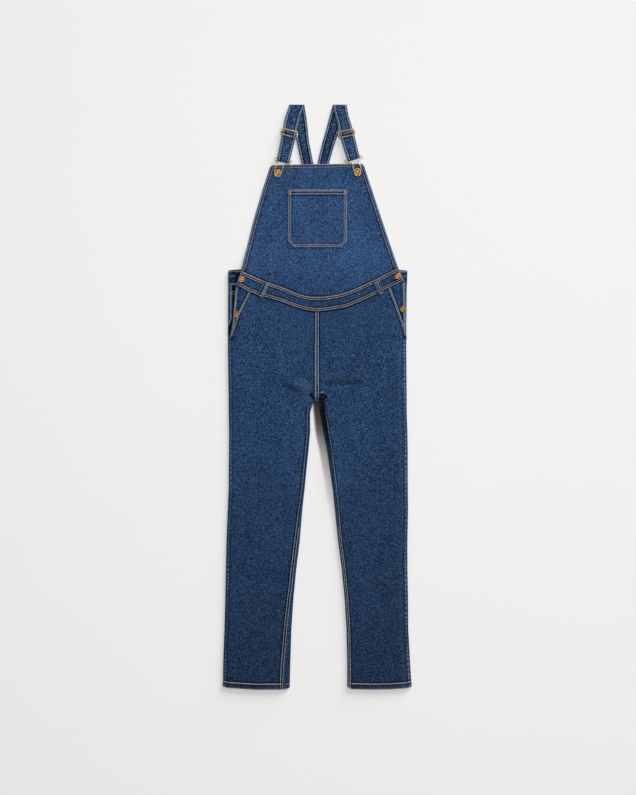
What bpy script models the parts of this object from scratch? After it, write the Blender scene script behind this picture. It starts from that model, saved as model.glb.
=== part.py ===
"""Denim dungarees laid flat on a surface with the front up.

Every cut and sewn piece of cloth is a thin closed wall, every hard piece a solid of its own.
The numbers are millimetres and become metres in add(). +X is the viewer's right, +Y runs
towards the straps and +Z up from the surface. "left" and "right" are the viewer's. One side
is -1 (left) or +1 (right) in the code.
"""

import math

import bmesh
import bpy
import numpy as np

# ---- driving sizes, mm -------------------------------------------------------------------
GAP = 0.3  # clear space between neighbouring pieces
SEAM_DITCH = 1.9  # space along the curved seam under the front waistband
DENIM = 1.2  # one ply of denim
HALF = DENIM / 2
HEM = 0.7  # what a turned hem adds on the inside
HEM_DEPTH = 12.0
BAND = 2.6  # waistband, folded double
STRAP = 2.4  # strap, folded double
LOOP = 1.8  # belt loop, folded strip
FOLD = 1.9  # radius of the middle of the cloth where it turns under at an edge
LOFT = 1.1  # how far the front lifts off in the middle of a leg
STACK = 3.0  # rise of the front over the two plies of the side opening
LOW = HALF  # middle of the ply that rests on the surface
HIGH = LOW + 2 * FOLD  # middle of the ply on top of an edge
BUTTON_R, BIB_BUTTON_R, SHANK_R = 7.5, 8.5, 3.2
WIRE_R = 1.1  # sliders and hooks
SLIDER_LONG, SLIDER_SHORT = 41.0, 15.0  # between wire centres
SLIDER_Z = 7.7
# Strap through a slider: distance from the middle bar, height of its middle over the wires
SLIDER_WEAVE = np.array([(0, 2.5), (1.6, 1.9), (3.75, 0.0), (5.9, -1.9), (7.5, -2.5),
                         (9.5, -2.8), (13.0, -3.2)])
HOOK_Z = 4.6
HOOK_TURN = 2.8  # radius of the strap's turn round the hook

CROTCH_Y = -9.0  # top of the gap between the legs
MOUTH_END_Y = 143.0  # where the slant pocket's mouth runs out on the side seam
YOKE_SIDE_Y = 261.6  # yoke seam at the side
BACK_BAND_Y, BACK_BAND_DEEP = 287.0, 33.5  # lower edge of the back waistband at the side
SIDE_WRAP = 22.0  # how far the back's panels reach over at the side opening
WRAP_END = 42.0  # how far the back waistband reaches over onto the front
CROSSING = (-9.7, 509.0)  # where the straps cross under the bib

# ---- outlines ----------------------------------------------------------------------------
# y, left leg's outer and inner edge, right leg's inner and outer edge
LEGS = np.array([
    (-752.0, -241.2, -71.7, 77.3, 240.4), (-686.0, -240.2, -69.9, 77.4, 236.3),
    (-593.0, -237.1, -67.1, 75.2, 231.7), (-517.0, -235.0, -62.2, 70.6, 231.2),
    (-440.0, -233.6, -55.0, 63.2, 229.6), (-368.0, -231.9, -46.0, 53.6, 229.6),
    (-286.0, -228.6, -39.2, 45.3, 231.2), (-232.0, -226.4, -33.3, 39.4, 230.6),
    (-179.0, -226.0, -28.2, 31.5, 230.4), (-130.0, -225.6, -23.0, 24.3, 230.4),
    (-86.0, -225.3, -19.2, 15.4, 229.5), (-40.0, -226.4, -19.5, 7.6, 227.8),
    (-20.0, -226.4, -14.1, 4.9, 227.8), (-12.5, -226.4, -10.5, 3.2, 227.8),
    (-9.0, -226.4, -0.9, 0.9, 227.8), (4.0, -226.5, -0.6, 0.6, 227.7),
    (131.0, -228.4, -0.15, 0.15, 226.6), (262.0, -228.0, -0.15, 0.15, 227.6),
    (322.0, -226.4, -0.15, 0.15, 228.6),
])
# y, how far each inseam sits on the front face, in from the leg's inner edge
INSEAMS = np.array([
    (-752.0, 17.5, 3.3), (-690.0, 16.5, 3.3), (-583.0, 11.0, 3.3), (-476.0, 6.4, 3.3),
    (-368.0, 6.0, 3.6), (-290.0, 2.4, 4.6), (-240.0, 0.2, 5.0), (-130.0, 0.2, 7.4),
    (-60.0, 0.2, 10.0), (-25.0, 0.2, 9.0), (-9.0, 0.2, 0.2), (600.0, 0.2, 0.2),
])
# x, y of the hems
HEM_LEFT = np.array([(-239, -739.8), (-231, -742.5), (-200, -744.5), (-156, -747.3),
                     (-94, -746.8), (-80, -745.5), (-72, -743.0)])
HEM_RIGHT = np.array([(77, -740.2), (87, -745.5), (138, -746.8), (189, -746.0),
                      (228, -743.5), (242, -740.2)])
# x, y of the front waistband's edges, from the left end to the right
BAND_TOP = np.array([(-194.6, 323.1), (-166, 309.4), (-133.1, 295.2), (-90.1, 282.0),
                     (-61.4, 268.3), (-32.8, 258.6), (0, 256.0), (43.5, 260.6),
                     (79.4, 269.3), (115.5, 286.2), (156.7, 305.4), (205.6, 330.6)])
BAND_BOTTOM = np.array([(-207.9, 288.0), (-176.6, 270.8), (-147.7, 260.2), (-122.9, 253.0),
                        (-95.7, 245.4), (-54.3, 230.0), (-23.8, 221.9), (3.1, 219.6),
                        (52.5, 225.6), (79.4, 232.0), (97.5, 239.2), (133.4, 255.4),
                        (187.4, 282.6), (220.7, 298.0)])
BAND_STATIONS = np.linspace(0, 1, 15)  # sections of the front waistband, shared with the bib
# y, left and right pocket mouth
MOUTH = np.array([(143.0, -225.6, 228.6), (158, -222.9, 227.6), (170, -218.6, 225.6),
                  (182, -214.2, 221.6), (216, -202.4, 210.0), (248, -186.5, 198.1),
                  (266.5, -176.6, 191.2), (278.0, -170.0, 186.6)])
# y, outer edge of the left and right pocket facing
FACING = np.array([(157.0, -223.6, 227.2), (175, -219.6, 226.2), (195, -216.3, 225.4),
                   (240, -212.6, 224.4), (287.0, -208.4, 222.6), (300, -207.2, 222.0)])
BIB_TOP_LEFT, BIB_TOP_RIGHT = (-120.3, 592.3), (117.8, 596.0)
BIB_LEFT = [(-164.2, 450.0), (-137.4, 540.0)]  # the left side bows out a little
POCKET_LEFT, POCKET_RIGHT, POCKET_LOW, POCKET_HIGH = -74.5, 74.2, 384.3, 530.4
POCKET_CHAMFER, POCKET_HEM = 15.0, 18.0
BELT_LOOPS = {  # top end, bottom end
    "left": ((-128.8, 294.1), (-145.9, 257.0)),
    "right": ((148.5, 301.8), (165.1, 264.4)),
}
LOOP_WIDTH = 12.5
# Largest folds of the front: start x y, end x y, half width, height (a trough is negative)
FOLDS = np.array([
    (-20, 16, -8, -8, 5, -0.9),
    (10, 14, 27, -14, 6, -0.9),
    (-60, 44, -16, 14, 9, -0.5),
    (24, 26, 88, 62, 11, -0.5),
    (-196, -210, -96, -262, 26, -0.6),
    (86, -236, 196, -206, 26, -0.6),
    (-206, -440, -122, -480, 22, -0.5),
    (110, -500, 204, -462, 22, -0.5),
])
# y of a back row at the side, how far the row moves at the centre back
BACK_BOW = np.array([(60.0, 0.0), (261.6, -20.0), (287.0, 18.0), (400.0, 18.0)])
# Straps, from the end sewn on the back waistband, over the top, to the turn round the hook:
# centre x, y, width, tilt of the section (degrees), height of the middle of the strap
STRAP_ROWS = {
    "left": np.array([
        (30.0, 314, 30.0, 0, 4.1), (26.8, 341, 30.0, 0, 4.1), (25.0, 356, 30.0, 0, 1.2),
        (8.0, 420, 30.0, 0, 1.2), (-9.7, 509, 30.0, 0, 1.2), (-25.6, 597, 30.0, 0, 1.2),
        (-37.0, 652, 30.5, 0, 1.2), (-42.0, 685, 33.5, 0, 1.2), (-47.4, 717, 36.6, 0, 1.2),
        (-52.2, 743, 37.6, 0, 1.2),
    ]),
    "right": np.array([
        (-45.0, 314, 29.0, 0, 4.1), (-42.0, 341, 29.0, 0, 4.1), (-40.0, 356, 29.0, 0, 1.2),
        (-30.0, 412, 29.0, 0, 1.2), (-25.0, 436, 29.0, 0, 3.9), (-9.7, 509, 29.0, 0, 3.9),
        (9.0, 570, 29.0, 0, 3.9), (14.0, 595, 28.4, 0, 1.2), (27.7, 648, 31.0, 0, 1.2),
        (38.6, 682, 33.0, 0, 1.2), (48.0, 714, 35.0, 0, 1.2), (56.0, 743, 34.4, 0, 1.2),
    ]),
}
STRAP_FRONT_ROWS = {
    "left": np.array([
        (-54.0, 741, 37.4, -1, 4.2), (-61.8, 722, 35.8, -6, 4.2), (-67.4, 700, 35.6, -12, 4.2),
    ]),
    "right": np.array([
        (57.8, 741, 34.0, 1, 4.2), (63.6, 717, 32.6, 4, 4.2), (69.2, 697, 33.0, 9, 4.2),
    ]),
}
STRAP_TOP_Y, STRAP_TURN = 747.5, 1.5
STRAP_END = {  # lower end on the front: centre x, y, width, tilt
    "left": (-87.7, 602.0, 31.2, -12.0),
    "right": (93.3, 608.5, 31.1, 18.0),
}
SLIDERS = {"left": (-71.9, 675.5, -15.0), "right": (74.3, 674.8, 12.0)}  # x, y, tilt
HOOKS = {  # down one side of the wire, round the button, up the other; then the hidden bar
    "left": [(-106.2, 612.6), (-110.0, 609.2), (-106.4, 604.4), (-100.9, 599.8),
             (-102.6, 594.6), (-106.6, 590.2), (-108.6, 584.0), (-110.4, 576.0),
             (-108.4, 567.2), (-102.4, 563.9), (-96.2, 567.0), (-93.6, 573.4),
             (-90.6, 581.4), (-88.3, 587.2), (-87.0, 592.6), (-82.6, 595.6),
             (-75.4, 595.8), (-68.4, 598.0), (-66.2, 601.6), (-69.6, 604.4)],
    "right": [(73.4, 607.2), (70.6, 604.4), (73.0, 600.8), (79.8, 600.0),
              (87.0, 600.4), (91.0, 597.0), (90.6, 591.6), (91.6, 585.6),
              (93.8, 577.4), (95.6, 569.8), (102.2, 566.0), (108.6, 569.4),
              (110.8, 577.6), (110.2, 586.2), (109.4, 592.6), (105.2, 597.6),
              (104.0, 602.4), (108.8, 607.6), (115.0, 613.4), (113.0, 617.6),
              (109.2, 617.0)],
}
BIB_BUTTONS = {"left": (-102.7, 574.5), "right": (102.4, 576.8)}
WAIST_BUTTONS = {"left": (-194.0, 301.3), "right": (205.3, 309.5)}
PLACKET_BUTTONS = {"left": (-206.8, 212.0), "right": (218.6, 225.5)}

# ---- colours (linear) --------------------------------------------------------------------
DENIM_BLUE = (0.028, 0.058, 0.130, 1.0)
GOLD = (0.64, 0.40, 0.17, 1.0)


# ---- helpers -----------------------------------------------------------------------------
def material(name, colour, metallic, roughness):
    """A Principled material with one colour."""
    made = bpy.data.materials.new(name)
    made.use_nodes = True
    shader = made.node_tree.nodes["Principled BSDF"]
    shader.inputs["Base Color"].default_value = colour
    shader.inputs["Metallic"].default_value = metallic
    shader.inputs["Roughness"].default_value = roughness
    return made


def add(name, points, faces, look):
    """One named object from points in mm and quads or polygons."""
    mesh = bpy.data.meshes.new(name)
    flat = (np.asarray(points, float).reshape(-1, 3) / 1000).tolist()
    mesh.from_pydata(flat, [], [tuple(int(i) for i in face) for face in faces])
    mesh.materials.append(look)
    made = bpy.data.objects.new(name, mesh)
    bpy.context.scene.collection.objects.link(made)
    return made


def smooth(low, high, value):
    """0 below low, 1 above high and an S-curve between."""
    t = np.clip((np.asarray(value, float) - low) / (high - low), 0, 1)
    return t * t * (3 - 2 * t)


def along(table, value, column=1):
    """A column of a table at a value of its first column."""
    return np.interp(value, table[:, 0], table[:, column])


def resample(line, stations):
    """Points of a polyline at fractions of its length."""
    line = np.asarray(line, float)
    steps = np.linalg.norm(np.diff(line, axis=0), axis=1)
    length = np.concatenate([[0], np.cumsum(steps)]) / steps.sum()
    return np.stack([np.interp(stations, length, column) for column in line.T], axis=1)


def patch(bottom, top, left, right, across, up):
    """Grid that fills four edges (a Coons patch). Bottom and top run to the right, left and
    right run up, and across and up are the fractions at which the edges are sampled."""
    low, high = resample(bottom, across), resample(top, across)
    start, end = resample(left, up), resample(right, up)
    u, v = across[None, :, None], up[:, None, None]
    ruled = low * (1 - v) + high * v + start[:, None] * (1 - u) + end[:, None] * u
    corners = (low[0] * (1 - u) + low[-1] * u) * (1 - v) + (high[0] * (1 - u) + high[-1] * u) * v
    return ruled - corners


def wall(name, grid, outer, inner, look):
    """Closed wall on a grid of points: outer and inner are its depths on the two sides of it.
    The outer side is the one that the grid's columns x rows point to."""
    grid = np.asarray(grid, float)
    across = np.gradient(grid, axis=1, edge_order=2)
    up = np.gradient(grid, axis=0, edge_order=2)
    normal = np.cross(across, up)
    normal /= np.linalg.norm(normal, axis=2, keepdims=True)
    outer = np.broadcast_to(outer, grid.shape[:2])[..., None]
    inner = np.broadcast_to(inner, grid.shape[:2])[..., None]
    points = np.concatenate([(grid + normal * outer).reshape(-1, 3),
                             (grid - normal * inner).reshape(-1, 3)])
    rows, columns = grid.shape[:2]
    index = np.arange(rows * columns).reshape(rows, columns)
    below = index + rows * columns
    a, b, c, d = index[:-1, :-1], index[:-1, 1:], index[1:, 1:], index[1:, :-1]
    faces = [np.stack([a, b, c, d], -1).reshape(-1, 4),
             np.stack([a, d, c, b], -1).reshape(-1, 4) + rows * columns]
    rim = np.concatenate([index[0, :-1], index[:-1, -1], index[-1, :0:-1], index[:0:-1, 0]])
    after = np.roll(rim, -1)
    offset = below[0, 0]
    faces.append(np.stack([rim, rim + offset, after + offset, after], -1))
    return add(name, points, np.concatenate(faces), look)


def tube(path, radius, sides=10):
    """Points and faces of a closed ring of round wire along a closed path."""
    path = np.asarray(path, float)
    forward = np.roll(path, -1, axis=0) - np.roll(path, 1, axis=0)
    forward /= np.linalg.norm(forward, axis=1, keepdims=True)
    lift = np.array([0.0, 0.0, 1.0]) - forward * forward[:, 2:3]
    lift /= np.linalg.norm(lift, axis=1, keepdims=True)
    side = np.cross(forward, lift)
    turn = np.arange(sides) * 2 * math.pi / sides
    points = (path[:, None] + radius * (np.cos(turn)[None, :, None] * side[:, None]
                                        + np.sin(turn)[None, :, None] * lift[:, None]))
    index = np.arange(len(path) * sides).reshape(len(path), sides)
    after = np.roll(index, -1, axis=0)
    faces = np.stack([index, after, np.roll(after, -1, 1), np.roll(index, -1, 1)], -1)
    return points.reshape(-1, 3), faces.reshape(-1, 4)


def smooth_loop(corners, steps):
    """A closed curve through corners (Catmull-Rom), with steps points to each span."""
    p = np.asarray(corners, float)
    before, after, later = np.roll(p, 1, 0), np.roll(p, -1, 0), np.roll(p, -2, 0)
    t = (np.arange(steps) / steps)[None, :, None]
    a, b, c, d = (q[:, None] for q in (before, p, after, later))
    curve = 0.5 * (2 * b + (c - a) * t + (2 * a - 5 * b + 4 * c - d) * t**2
                   + (3 * b - a - 3 * c + d) * t**3)
    return curve.reshape(-1, p.shape[1])


def turned(name, centre, profile, look, segments=28):
    """Solid of revolution about a vertical axis from (radius, height) pairs, top to bottom."""
    x, y = centre
    angle = np.arange(segments) * 2 * math.pi / segments
    rings = [[(x + r * math.cos(a), y + r * math.sin(a), z) for a in angle]
             for r, z in profile[1:-1]]
    points = np.array([(x, y, profile[0][1])] + sum(rings, []) + [(x, y, profile[-1][1])])
    faces = [(0, 1 + i, 1 + (i + 1) % segments) for i in range(segments)]
    for k in range(len(rings) - 1):
        first = 1 + k * segments
        for i in range(segments):
            j = (i + 1) % segments
            faces.append((first + i, first + segments + i, first + segments + j, first + j))
    last, end = 1 + (len(rings) - 1) * segments, len(points) - 1
    faces += [(last + i, end, last + (i + 1) % segments) for i in range(segments)]
    return add(name, points, faces, look)


# ---- form of the cloth -------------------------------------------------------------------
def outline(side, y):
    """x of a leg's (or the body's) outer and inner edge."""
    outer, inner = (1, 2) if side < 0 else (4, 3)
    return along(LEGS, y, outer), along(LEGS, y, inner)


def turn(arc, radius):
    """Distance in from an edge's extreme and height above its middle, arc along the cloth
    from that extreme: positive over the top, negative underneath."""
    quarter = radius * math.pi / 2
    angle = np.clip(arc / radius, -math.pi / 2, math.pi / 2)
    beyond = np.maximum(np.abs(arc) - quarter, 0)
    return radius * (1 - np.cos(angle)) + beyond, radius * np.sin(angle)


def fold_lines(x, y):
    """Summed height of the soft folds: a bell across each line that fades at its ends."""
    total = np.zeros(np.broadcast(x, y).shape)
    for x0, y0, x1, y1, half, height in FOLDS:
        dx, dy = x1 - x0, y1 - y0
        t = ((x - x0) * dx + (y - y0) * dy) / (dx * dx + dy * dy)
        off = ((x - x0) * dy - (y - y0) * dx) / math.hypot(dx, dy)
        ends = smooth(-0.15, 0.2, t) * (1 - smooth(0.8, 1.15, t))
        total += height * np.exp(-((off / half) ** 2)) * ends
    return total


BAND_TOP = resample(BAND_TOP, BAND_STATIONS)
BAND_BOTTOM = resample(BAND_BOTTOM, BAND_STATIONS)


def side_stack(x, y):
    """1 where the front lies on the plies of the side opening, 0 clear of them."""
    return (smooth(144, 163, y) * smooth(148, 182, np.abs(x))
            * (1 - smooth(345, 400, y)))


def corner_rise(x, y):
    """The right end of the front waistband lies on the back waistband and the facing too."""
    return 1.5 * smooth(184, 200, x) * smooth(258, 280, y) * (1 - smooth(318, 360, y))


def front_height(x, y):
    """Middle of the front's ply, for legs, hips, waistband and bib."""
    edges = [outline(side, y) for side in (-1, 1)]
    outer = np.minimum(np.abs(x - edges[0][0]), np.abs(edges[1][0] - x))
    inner = np.where(x < 0, np.abs(x - edges[0][1]), np.abs(x - edges[1][1]))
    split = 1 - smooth(-60, -8, y)
    rise = LOFT * (1 - np.exp(-outer / 16)) * (1 - split * np.exp(-inner / 16))
    rise = rise + fold_lines(x, y) + 0.8 * smooth(262, 308, y)
    stack = side_stack(x, y)
    worn = HIGH + rise * (1 - stack) + STACK * stack + corner_rise(x, y)
    return worn + (bib_height(x, y) - worn) * smooth(335, 410, y)


def bib_height(x, y):
    """Middle of the bib's ply above the waist: on the surface at its edges, over the straps
    in the middle and higher where they cross."""
    over = 1 - smooth(46, 108, np.abs(x))
    crossing = np.hypot((x - CROSSING[0]) * 1.2, y - CROSSING[1])
    return 1.2 + 3.2 * over + 2.4 * (1 - smooth(50, 140, crossing)) * over


def spread(first, last, close, between):
    """Stations from first to last (arrays), close together at both ends by the distances in
    close, and between of them evenly across the rest."""
    close = np.array(close, float)
    near, far = first[:, None] + close, last[:, None] - close[::-1]
    share = (np.arange(between) + 1) / (between + 1)
    middle = near[:, -1:] + (far[:, :1] - near[:, -1:]) * share
    return np.concatenate([near, middle, far], axis=1)


def crotch_turn(y):
    """How much of the full turn the inner edge makes: none on the body, all down the leg."""
    return np.maximum(1 - smooth(CROTCH_Y - 2, CROTCH_Y + 12, y), 0.001)


# ---- legs, hips and yokes ----------------------------------------------------------------
LEG_ROWS = np.array([-750, -740, -737.5, -705, -630, -550, -470, -390, -320, -260, -200, -145,
                     -95, -50, -22, -13.5, -9.5, -5, 3, 18, 60, 110, 143, 152, 164, 178, 192,
                     203, 214, 226, 246, 280.0])
TOP_ROW = LEG_ROWS[-1]


def turn_inner(arc, radius):
    """As turn(), for an edge whose radius shrinks to nothing: height is below the top ply."""
    inward, lift = turn(arc, radius)
    return inward, lift - radius


def at_hem(side, x, rows):
    """How far the rows near the hem move to follow its edge."""
    edge = along(HEM_LEFT if side < 0 else HEM_RIGHT, x)
    return (edge - LEG_ROWS[0]) * (1 - smooth(-700, -560, rows))


def front_leg(side, name, look):
    """Front of one leg with its half of the hips: from the side seam over the top to the
    centre front seam or, down the leg, to the inseam. High up it starts on the pocket mouth
    and lies on the plies of the side opening."""
    rows, column = LEG_ROWS, 1 if side < 0 else 2
    outer, inner = outline(side, rows)
    small = FOLD * crotch_turn(rows)
    top = np.abs(outer - inner) + (math.pi / 2 - 1) * (FOLD + small)
    seam = np.maximum(along(INSEAMS, rows, column), 0.2)
    arc = spread(np.full(len(rows), 0.2), top - seam, [0, 1.5, 3.1, 13.0], 4)
    from_outer, lift_outer = turn(arc, FOLD)
    from_inner, lift_inner = turn_inner(top[:, None] - arc, small[:, None])
    near = arc < top[:, None] / 2
    inward = np.where(near, from_outer, np.abs(outer - inner)[:, None] - from_inner)
    lift = np.where(near, lift_outer - FOLD, lift_inner)
    # Rows above the end of the mouth: each starts on the mouth and rises with the waistband.
    share = np.clip((rows - MOUTH_END_Y) / (TOP_ROW - MOUTH_END_Y), 0, 1)
    start_y = rows.copy()
    for _ in range(40):
        goal = along(BAND_BOTTOM, along(MOUTH, start_y, column)) - SEAM_DITCH
        start_y = MOUTH_END_Y + (goal - MOUTH_END_Y) * share
    start = along(MOUTH, start_y, column)
    flat = (arc - arc[:, :1]) / (arc[:, -1:] - arc[:, :1])
    open_x = start[:, None] - side * flat * (np.abs(start) - GAP / 2)[:, None]
    opened = smooth(MOUTH_END_Y - 2, MOUTH_END_Y + 10, rows)[:, None]
    x = (outer[:, None] - side * inward) * (1 - opened) + open_x * opened
    goal = along(BAND_BOTTOM, x) - SEAM_DITCH
    y = np.where(rows[:, None] > MOUTH_END_Y,
                 MOUTH_END_Y + (goal - MOUTH_END_Y) * share[:, None],
                 rows[:, None] + at_hem(side, x, rows[:, None]))
    z = front_height(x, y) + lift * (1 - opened * near)
    if side < 0:  # the pocket's edge rides up on the button under it
        off = np.hypot(x - PLACKET_BUTTONS["left"][0] - 3, y - PLACKET_BUTTONS["left"][1])
        z = z + 3.8 * (1 - smooth(9, 22, off))
    depth = np.where(rows < -738, HALF + HEM, HALF)[:, None]
    grid = np.stack([x, y, z], -1)
    return wall(name, grid if side < 0 else grid[:, ::-1], HALF, depth, look)


def back_shift(x, y):
    """How far a row of the back moves: down to the yoke seam's point at the centre, up for
    the waistband."""
    return along(BACK_BOW, y) * (1 - (x / 230.0) ** 2)


def side_wrap(y):
    """How far the back reaches over onto the front at the side opening."""
    return SIDE_WRAP * smooth(150, 205, y)


def back_arcs(wrap, under, reach, full=SIDE_WRAP):
    """Stations of a back piece, from its end at the side (wrap over the top, in the rows
    where the side is open) round the edge, underneath, and reach past the other edge."""
    seamed = np.array([0.2, 0.8, 1.6, 2.4, 3.1, 14.0])
    opened = np.array([-full, -3.1, -1.2, 1.2, 3.1, 14.0])
    near = seamed + (opened - seamed) * (wrap / full)[:, None]
    turned_up = np.clip(reach / 4, 0, 1)[:, None]
    plain = np.array([-14.0, -3.1, -2.4, -1.6, -0.9])
    round_edge = np.array([-14.0, -3.1, -1.2, 1.2, 2.6])
    far = under[:, None] + plain + (round_edge - plain) * turned_up
    last = (under + reach)[:, None]
    middle = near[:, -1:] + (far[:, :1] - near[:, -1:]) * np.array([1 / 3, 2 / 3])
    return np.concatenate([near, middle, far, last], axis=1)


def back_leg(side, name, look):
    """Back of one leg: from the inseam round the inner edge, flat underneath to the centre
    back, and round the outer edge to the side seam or the side opening."""
    column = 1 if side < 0 else 2
    rows = LEG_ROWS.copy()
    squeeze = (YOKE_SIDE_Y - GAP / 2 - MOUTH_END_Y) / (TOP_ROW - MOUTH_END_Y)
    rows = np.where(rows > MOUTH_END_Y, MOUTH_END_Y + (rows - MOUTH_END_Y) * squeeze, rows)
    outer, inner = outline(side, rows)
    small = FOLD * crotch_turn(rows)
    under = np.abs(outer - inner) + (math.pi / 2 - 1) * (FOLD + small)
    seam = np.maximum(along(INSEAMS, rows, column), 0.2)
    reach = np.where(seam > 0.21, seam - 2 * GAP - 0.1, -0.2)
    arc = back_arcs(side_wrap(rows), under, reach)
    return back_grid(side, rows[:, None], arc, name, look, (outer, inner, small, under))


def back_grid(side, rows, arc, name, look, edges):
    """Wall of the back from rows and arcs from the outer edge, positive underneath."""
    outer, inner, small, under = (value[:, None] for value in edges)
    from_outer, lift_outer = turn(-arc, FOLD)
    from_inner, lift_inner = turn_inner(arc - under, small)
    near = arc < under / 2
    width = np.abs(outer - inner)
    x = outer - side * np.where(near, from_outer, width - from_inner)
    over = near & (arc < 0)
    y = rows + at_hem(side, x, rows) + np.where(over, 0, back_shift(x, rows))
    z = np.where(near, LOW + FOLD + lift_outer, LOW + 2 * small + lift_inner)
    raised = np.clip((z - LOW) / (2 * FOLD), 0, 1) * ~near
    z = z + raised * (front_height(x, y) - HIGH)
    depth = np.where(rows < -738, HALF + HEM, HALF)
    grid = np.stack([x, y, z], -1)
    return wall(name, grid[:, ::-1] if side < 0 else grid, HALF, depth, look)


def back_yoke(side, name, look):
    """Back yoke: between the yoke seam and the back waistband, round the side edge too."""
    share = np.linspace(0, 1, 3)
    low, high = YOKE_SIDE_Y + GAP / 2, BACK_BAND_Y - GAP / 2
    rows = low + (high - low) * share
    outer, inner = outline(side, rows)
    small = np.full(len(rows), FOLD * 0.001)
    under = np.abs(outer - inner) + (math.pi / 2 - 1) * (FOLD + small)
    arc = back_arcs(side_wrap(rows), under, np.full(len(rows), -0.0))
    return back_grid(side, rows[:, None], arc, name, look, (outer, inner, small, under))


def back_waistband(name, look):
    """Back waistband in one length: over the left side, under the whole back, over the right
    side, with an end under each end of the front waistband."""
    rows = np.linspace(BACK_BAND_Y + GAP / 2, BACK_BAND_Y + BACK_BAND_DEEP, 3)
    left, right = along(LEGS, rows, 1), along(LEGS, rows, 4)
    under = right - left + (math.pi - 2) * FOLD
    wrap = np.full(len(rows), WRAP_END)
    halves = [back_arcs(wrap, np.abs(edge) + (math.pi / 2 - 1) * FOLD, -0.15 + 0 * edge,
                        WRAP_END) for edge in (left, right)]
    arc = np.concatenate([halves[0], under[:, None] - halves[1][:, ::-1]], axis=1)
    from_left, lift_left = turn(-arc, FOLD)
    from_right, lift_right = turn(arc - under[:, None], FOLD)
    near = arc < under[:, None] / 2
    x = np.where(near, left[:, None] + from_left, right[:, None] - from_right)
    z = BAND / 2 + FOLD + np.where(near, lift_left, lift_right)
    over = (arc < 0) | (arc > under[:, None])
    y = rows[:, None] + np.where(over, 0, back_shift(x, rows[:, None]))
    y = y - 0.16 * smooth(295, 320, rows)[:, None] * np.where(near & over, from_left, 0)
    grid = np.stack([x, y, z], -1)
    return wall(name, grid[:, ::-1], BAND / 2, BAND / 2, look)


# ---- flat pieces on the front ------------------------------------------------------------
def laid(name, plan, outer, inner, look, lift=0.0):
    """Wall on a plan grid of x, y, lying at the front's height plus lift."""
    z = front_height(plan[..., 0], plan[..., 1]) + lift
    return wall(name, np.concatenate([plan, z[..., None]], -1), outer, inner, look)


def front_waistband(look):
    """Front waistband, a double strip with a rounded dip at the centre."""
    across, up = BAND_STATIONS, np.array([0, 0.5, 1.0])
    plan = patch(BAND_BOTTOM, BAND_TOP, [BAND_BOTTOM[0], BAND_TOP[0]],
                 [BAND_BOTTOM[-1], (210.7, 322.0), BAND_TOP[-1]], across, up)
    return laid("front_waistband", plan, BAND / 2, BAND / 2, look, lift=0.6)


def bib(look):
    """Bib: straight sides, a straight top and a lower edge on the waistband; its sides and
    top are turned in and so thicker."""
    across = np.sort(np.concatenate([BAND_STATIONS, [0.035, 0.965]]))
    up = np.array([0, 0.08, 0.17, 0.28, 0.38, 0.48, 0.58, 0.68, 0.78, 0.86, 0.92, 0.957, 0.967,
                   1.0])
    low = BAND_TOP + (0, GAP)
    corners = [BIB_TOP_LEFT + np.array((4, 1.4)), BIB_TOP_RIGHT + np.array((-4, 1.4))]
    plan = patch(low, corners, [low[0], *BIB_LEFT, np.array(BIB_TOP_LEFT) - (1, 3.4), corners[0]],
                 [low[-1], np.array(BIB_TOP_RIGHT) - (-1, 3.4), corners[1]], across, up)
    turned_in = np.maximum(np.abs(across - 0.5) > 0.464, (up > 0.96)[:, None])
    return laid("bib", plan, HALF, np.where(turned_in, HALF + 0.6, HALF), look)


def bib_pocket(look):
    """Patch pocket on the bib, with cut lower corners and a deep hem along its mouth."""
    x0, x1, y0, y1, c = POCKET_LEFT, POCKET_RIGHT, POCKET_LOW, POCKET_HIGH, POCKET_CHAMFER
    hem = 1 - POCKET_HEM / (y1 - y0)
    across = np.linspace(0, 1, 9)
    up = np.array([0, 0.06, 0.13, 0.28, 0.43, 0.58, 0.73, hem - 0.01, hem + 0.01, 1.0])
    plan = patch([(x0 + c, y0), (x1 - c, y0)], [(x0, y1), (x1, y1)],
                 [(x0 + c, y0), (x0, y0 + c), (x0, y1)],
                 [(x1 - c, y0), (x1, y0 + c), (x1, y1)], across, up)
    outer = np.where(up > hem, 1.9, DENIM)[:, None]
    return laid("bib_pocket", plan, outer, 0.0, look, lift=HALF + GAP + 0.4)


def pocket_facing(side, name, look):
    """Facing seen between the slant pocket's mouth and the side opening; it goes on under
    the front panel."""
    column = 1 if side < 0 else 2
    first, last = 172.0, 285.0
    ys = np.array([172, 183, 196, 210, 224, 242, 263, 285.0])
    edge = np.stack([along(FACING, ys, column), ys], 1)
    goal = along(BAND_BOTTOM, edge[-1, 0]) - SEAM_DITCH
    goal = min(goal, 286.6) if side < 0 else goal
    edge[:, 1] = first + (ys - first) * (goal - first) / (last - first)
    inside = np.stack([along(MOUTH, ys, column) - side * 14.0, ys], 1)
    inside[-1, 0] = edge[-1, 0] - side * 54
    high = along(BAND_BOTTOM, inside[-1, 0]) - SEAM_DITCH
    inside[:, 1] = first + (ys - first) * (high - first) / (last - first)
    across = np.linspace(0, 1, 4)
    top = edge[-1] + (inside[-1] - edge[-1]) * across[:, None]
    top[:, 1] = np.minimum(along(BAND_BOTTOM, top[:, 0]) - SEAM_DITCH, edge[-1, 1])
    up = np.linspace(0, 1, len(ys))
    plan = patch([edge[0], inside[0]], top, edge, inside, across, up)
    if side > 0:
        plan = plan[:, ::-1]
    return laid(name, plan, HALF, HALF, look, lift=-(DENIM + GAP) - 0.1)


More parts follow.
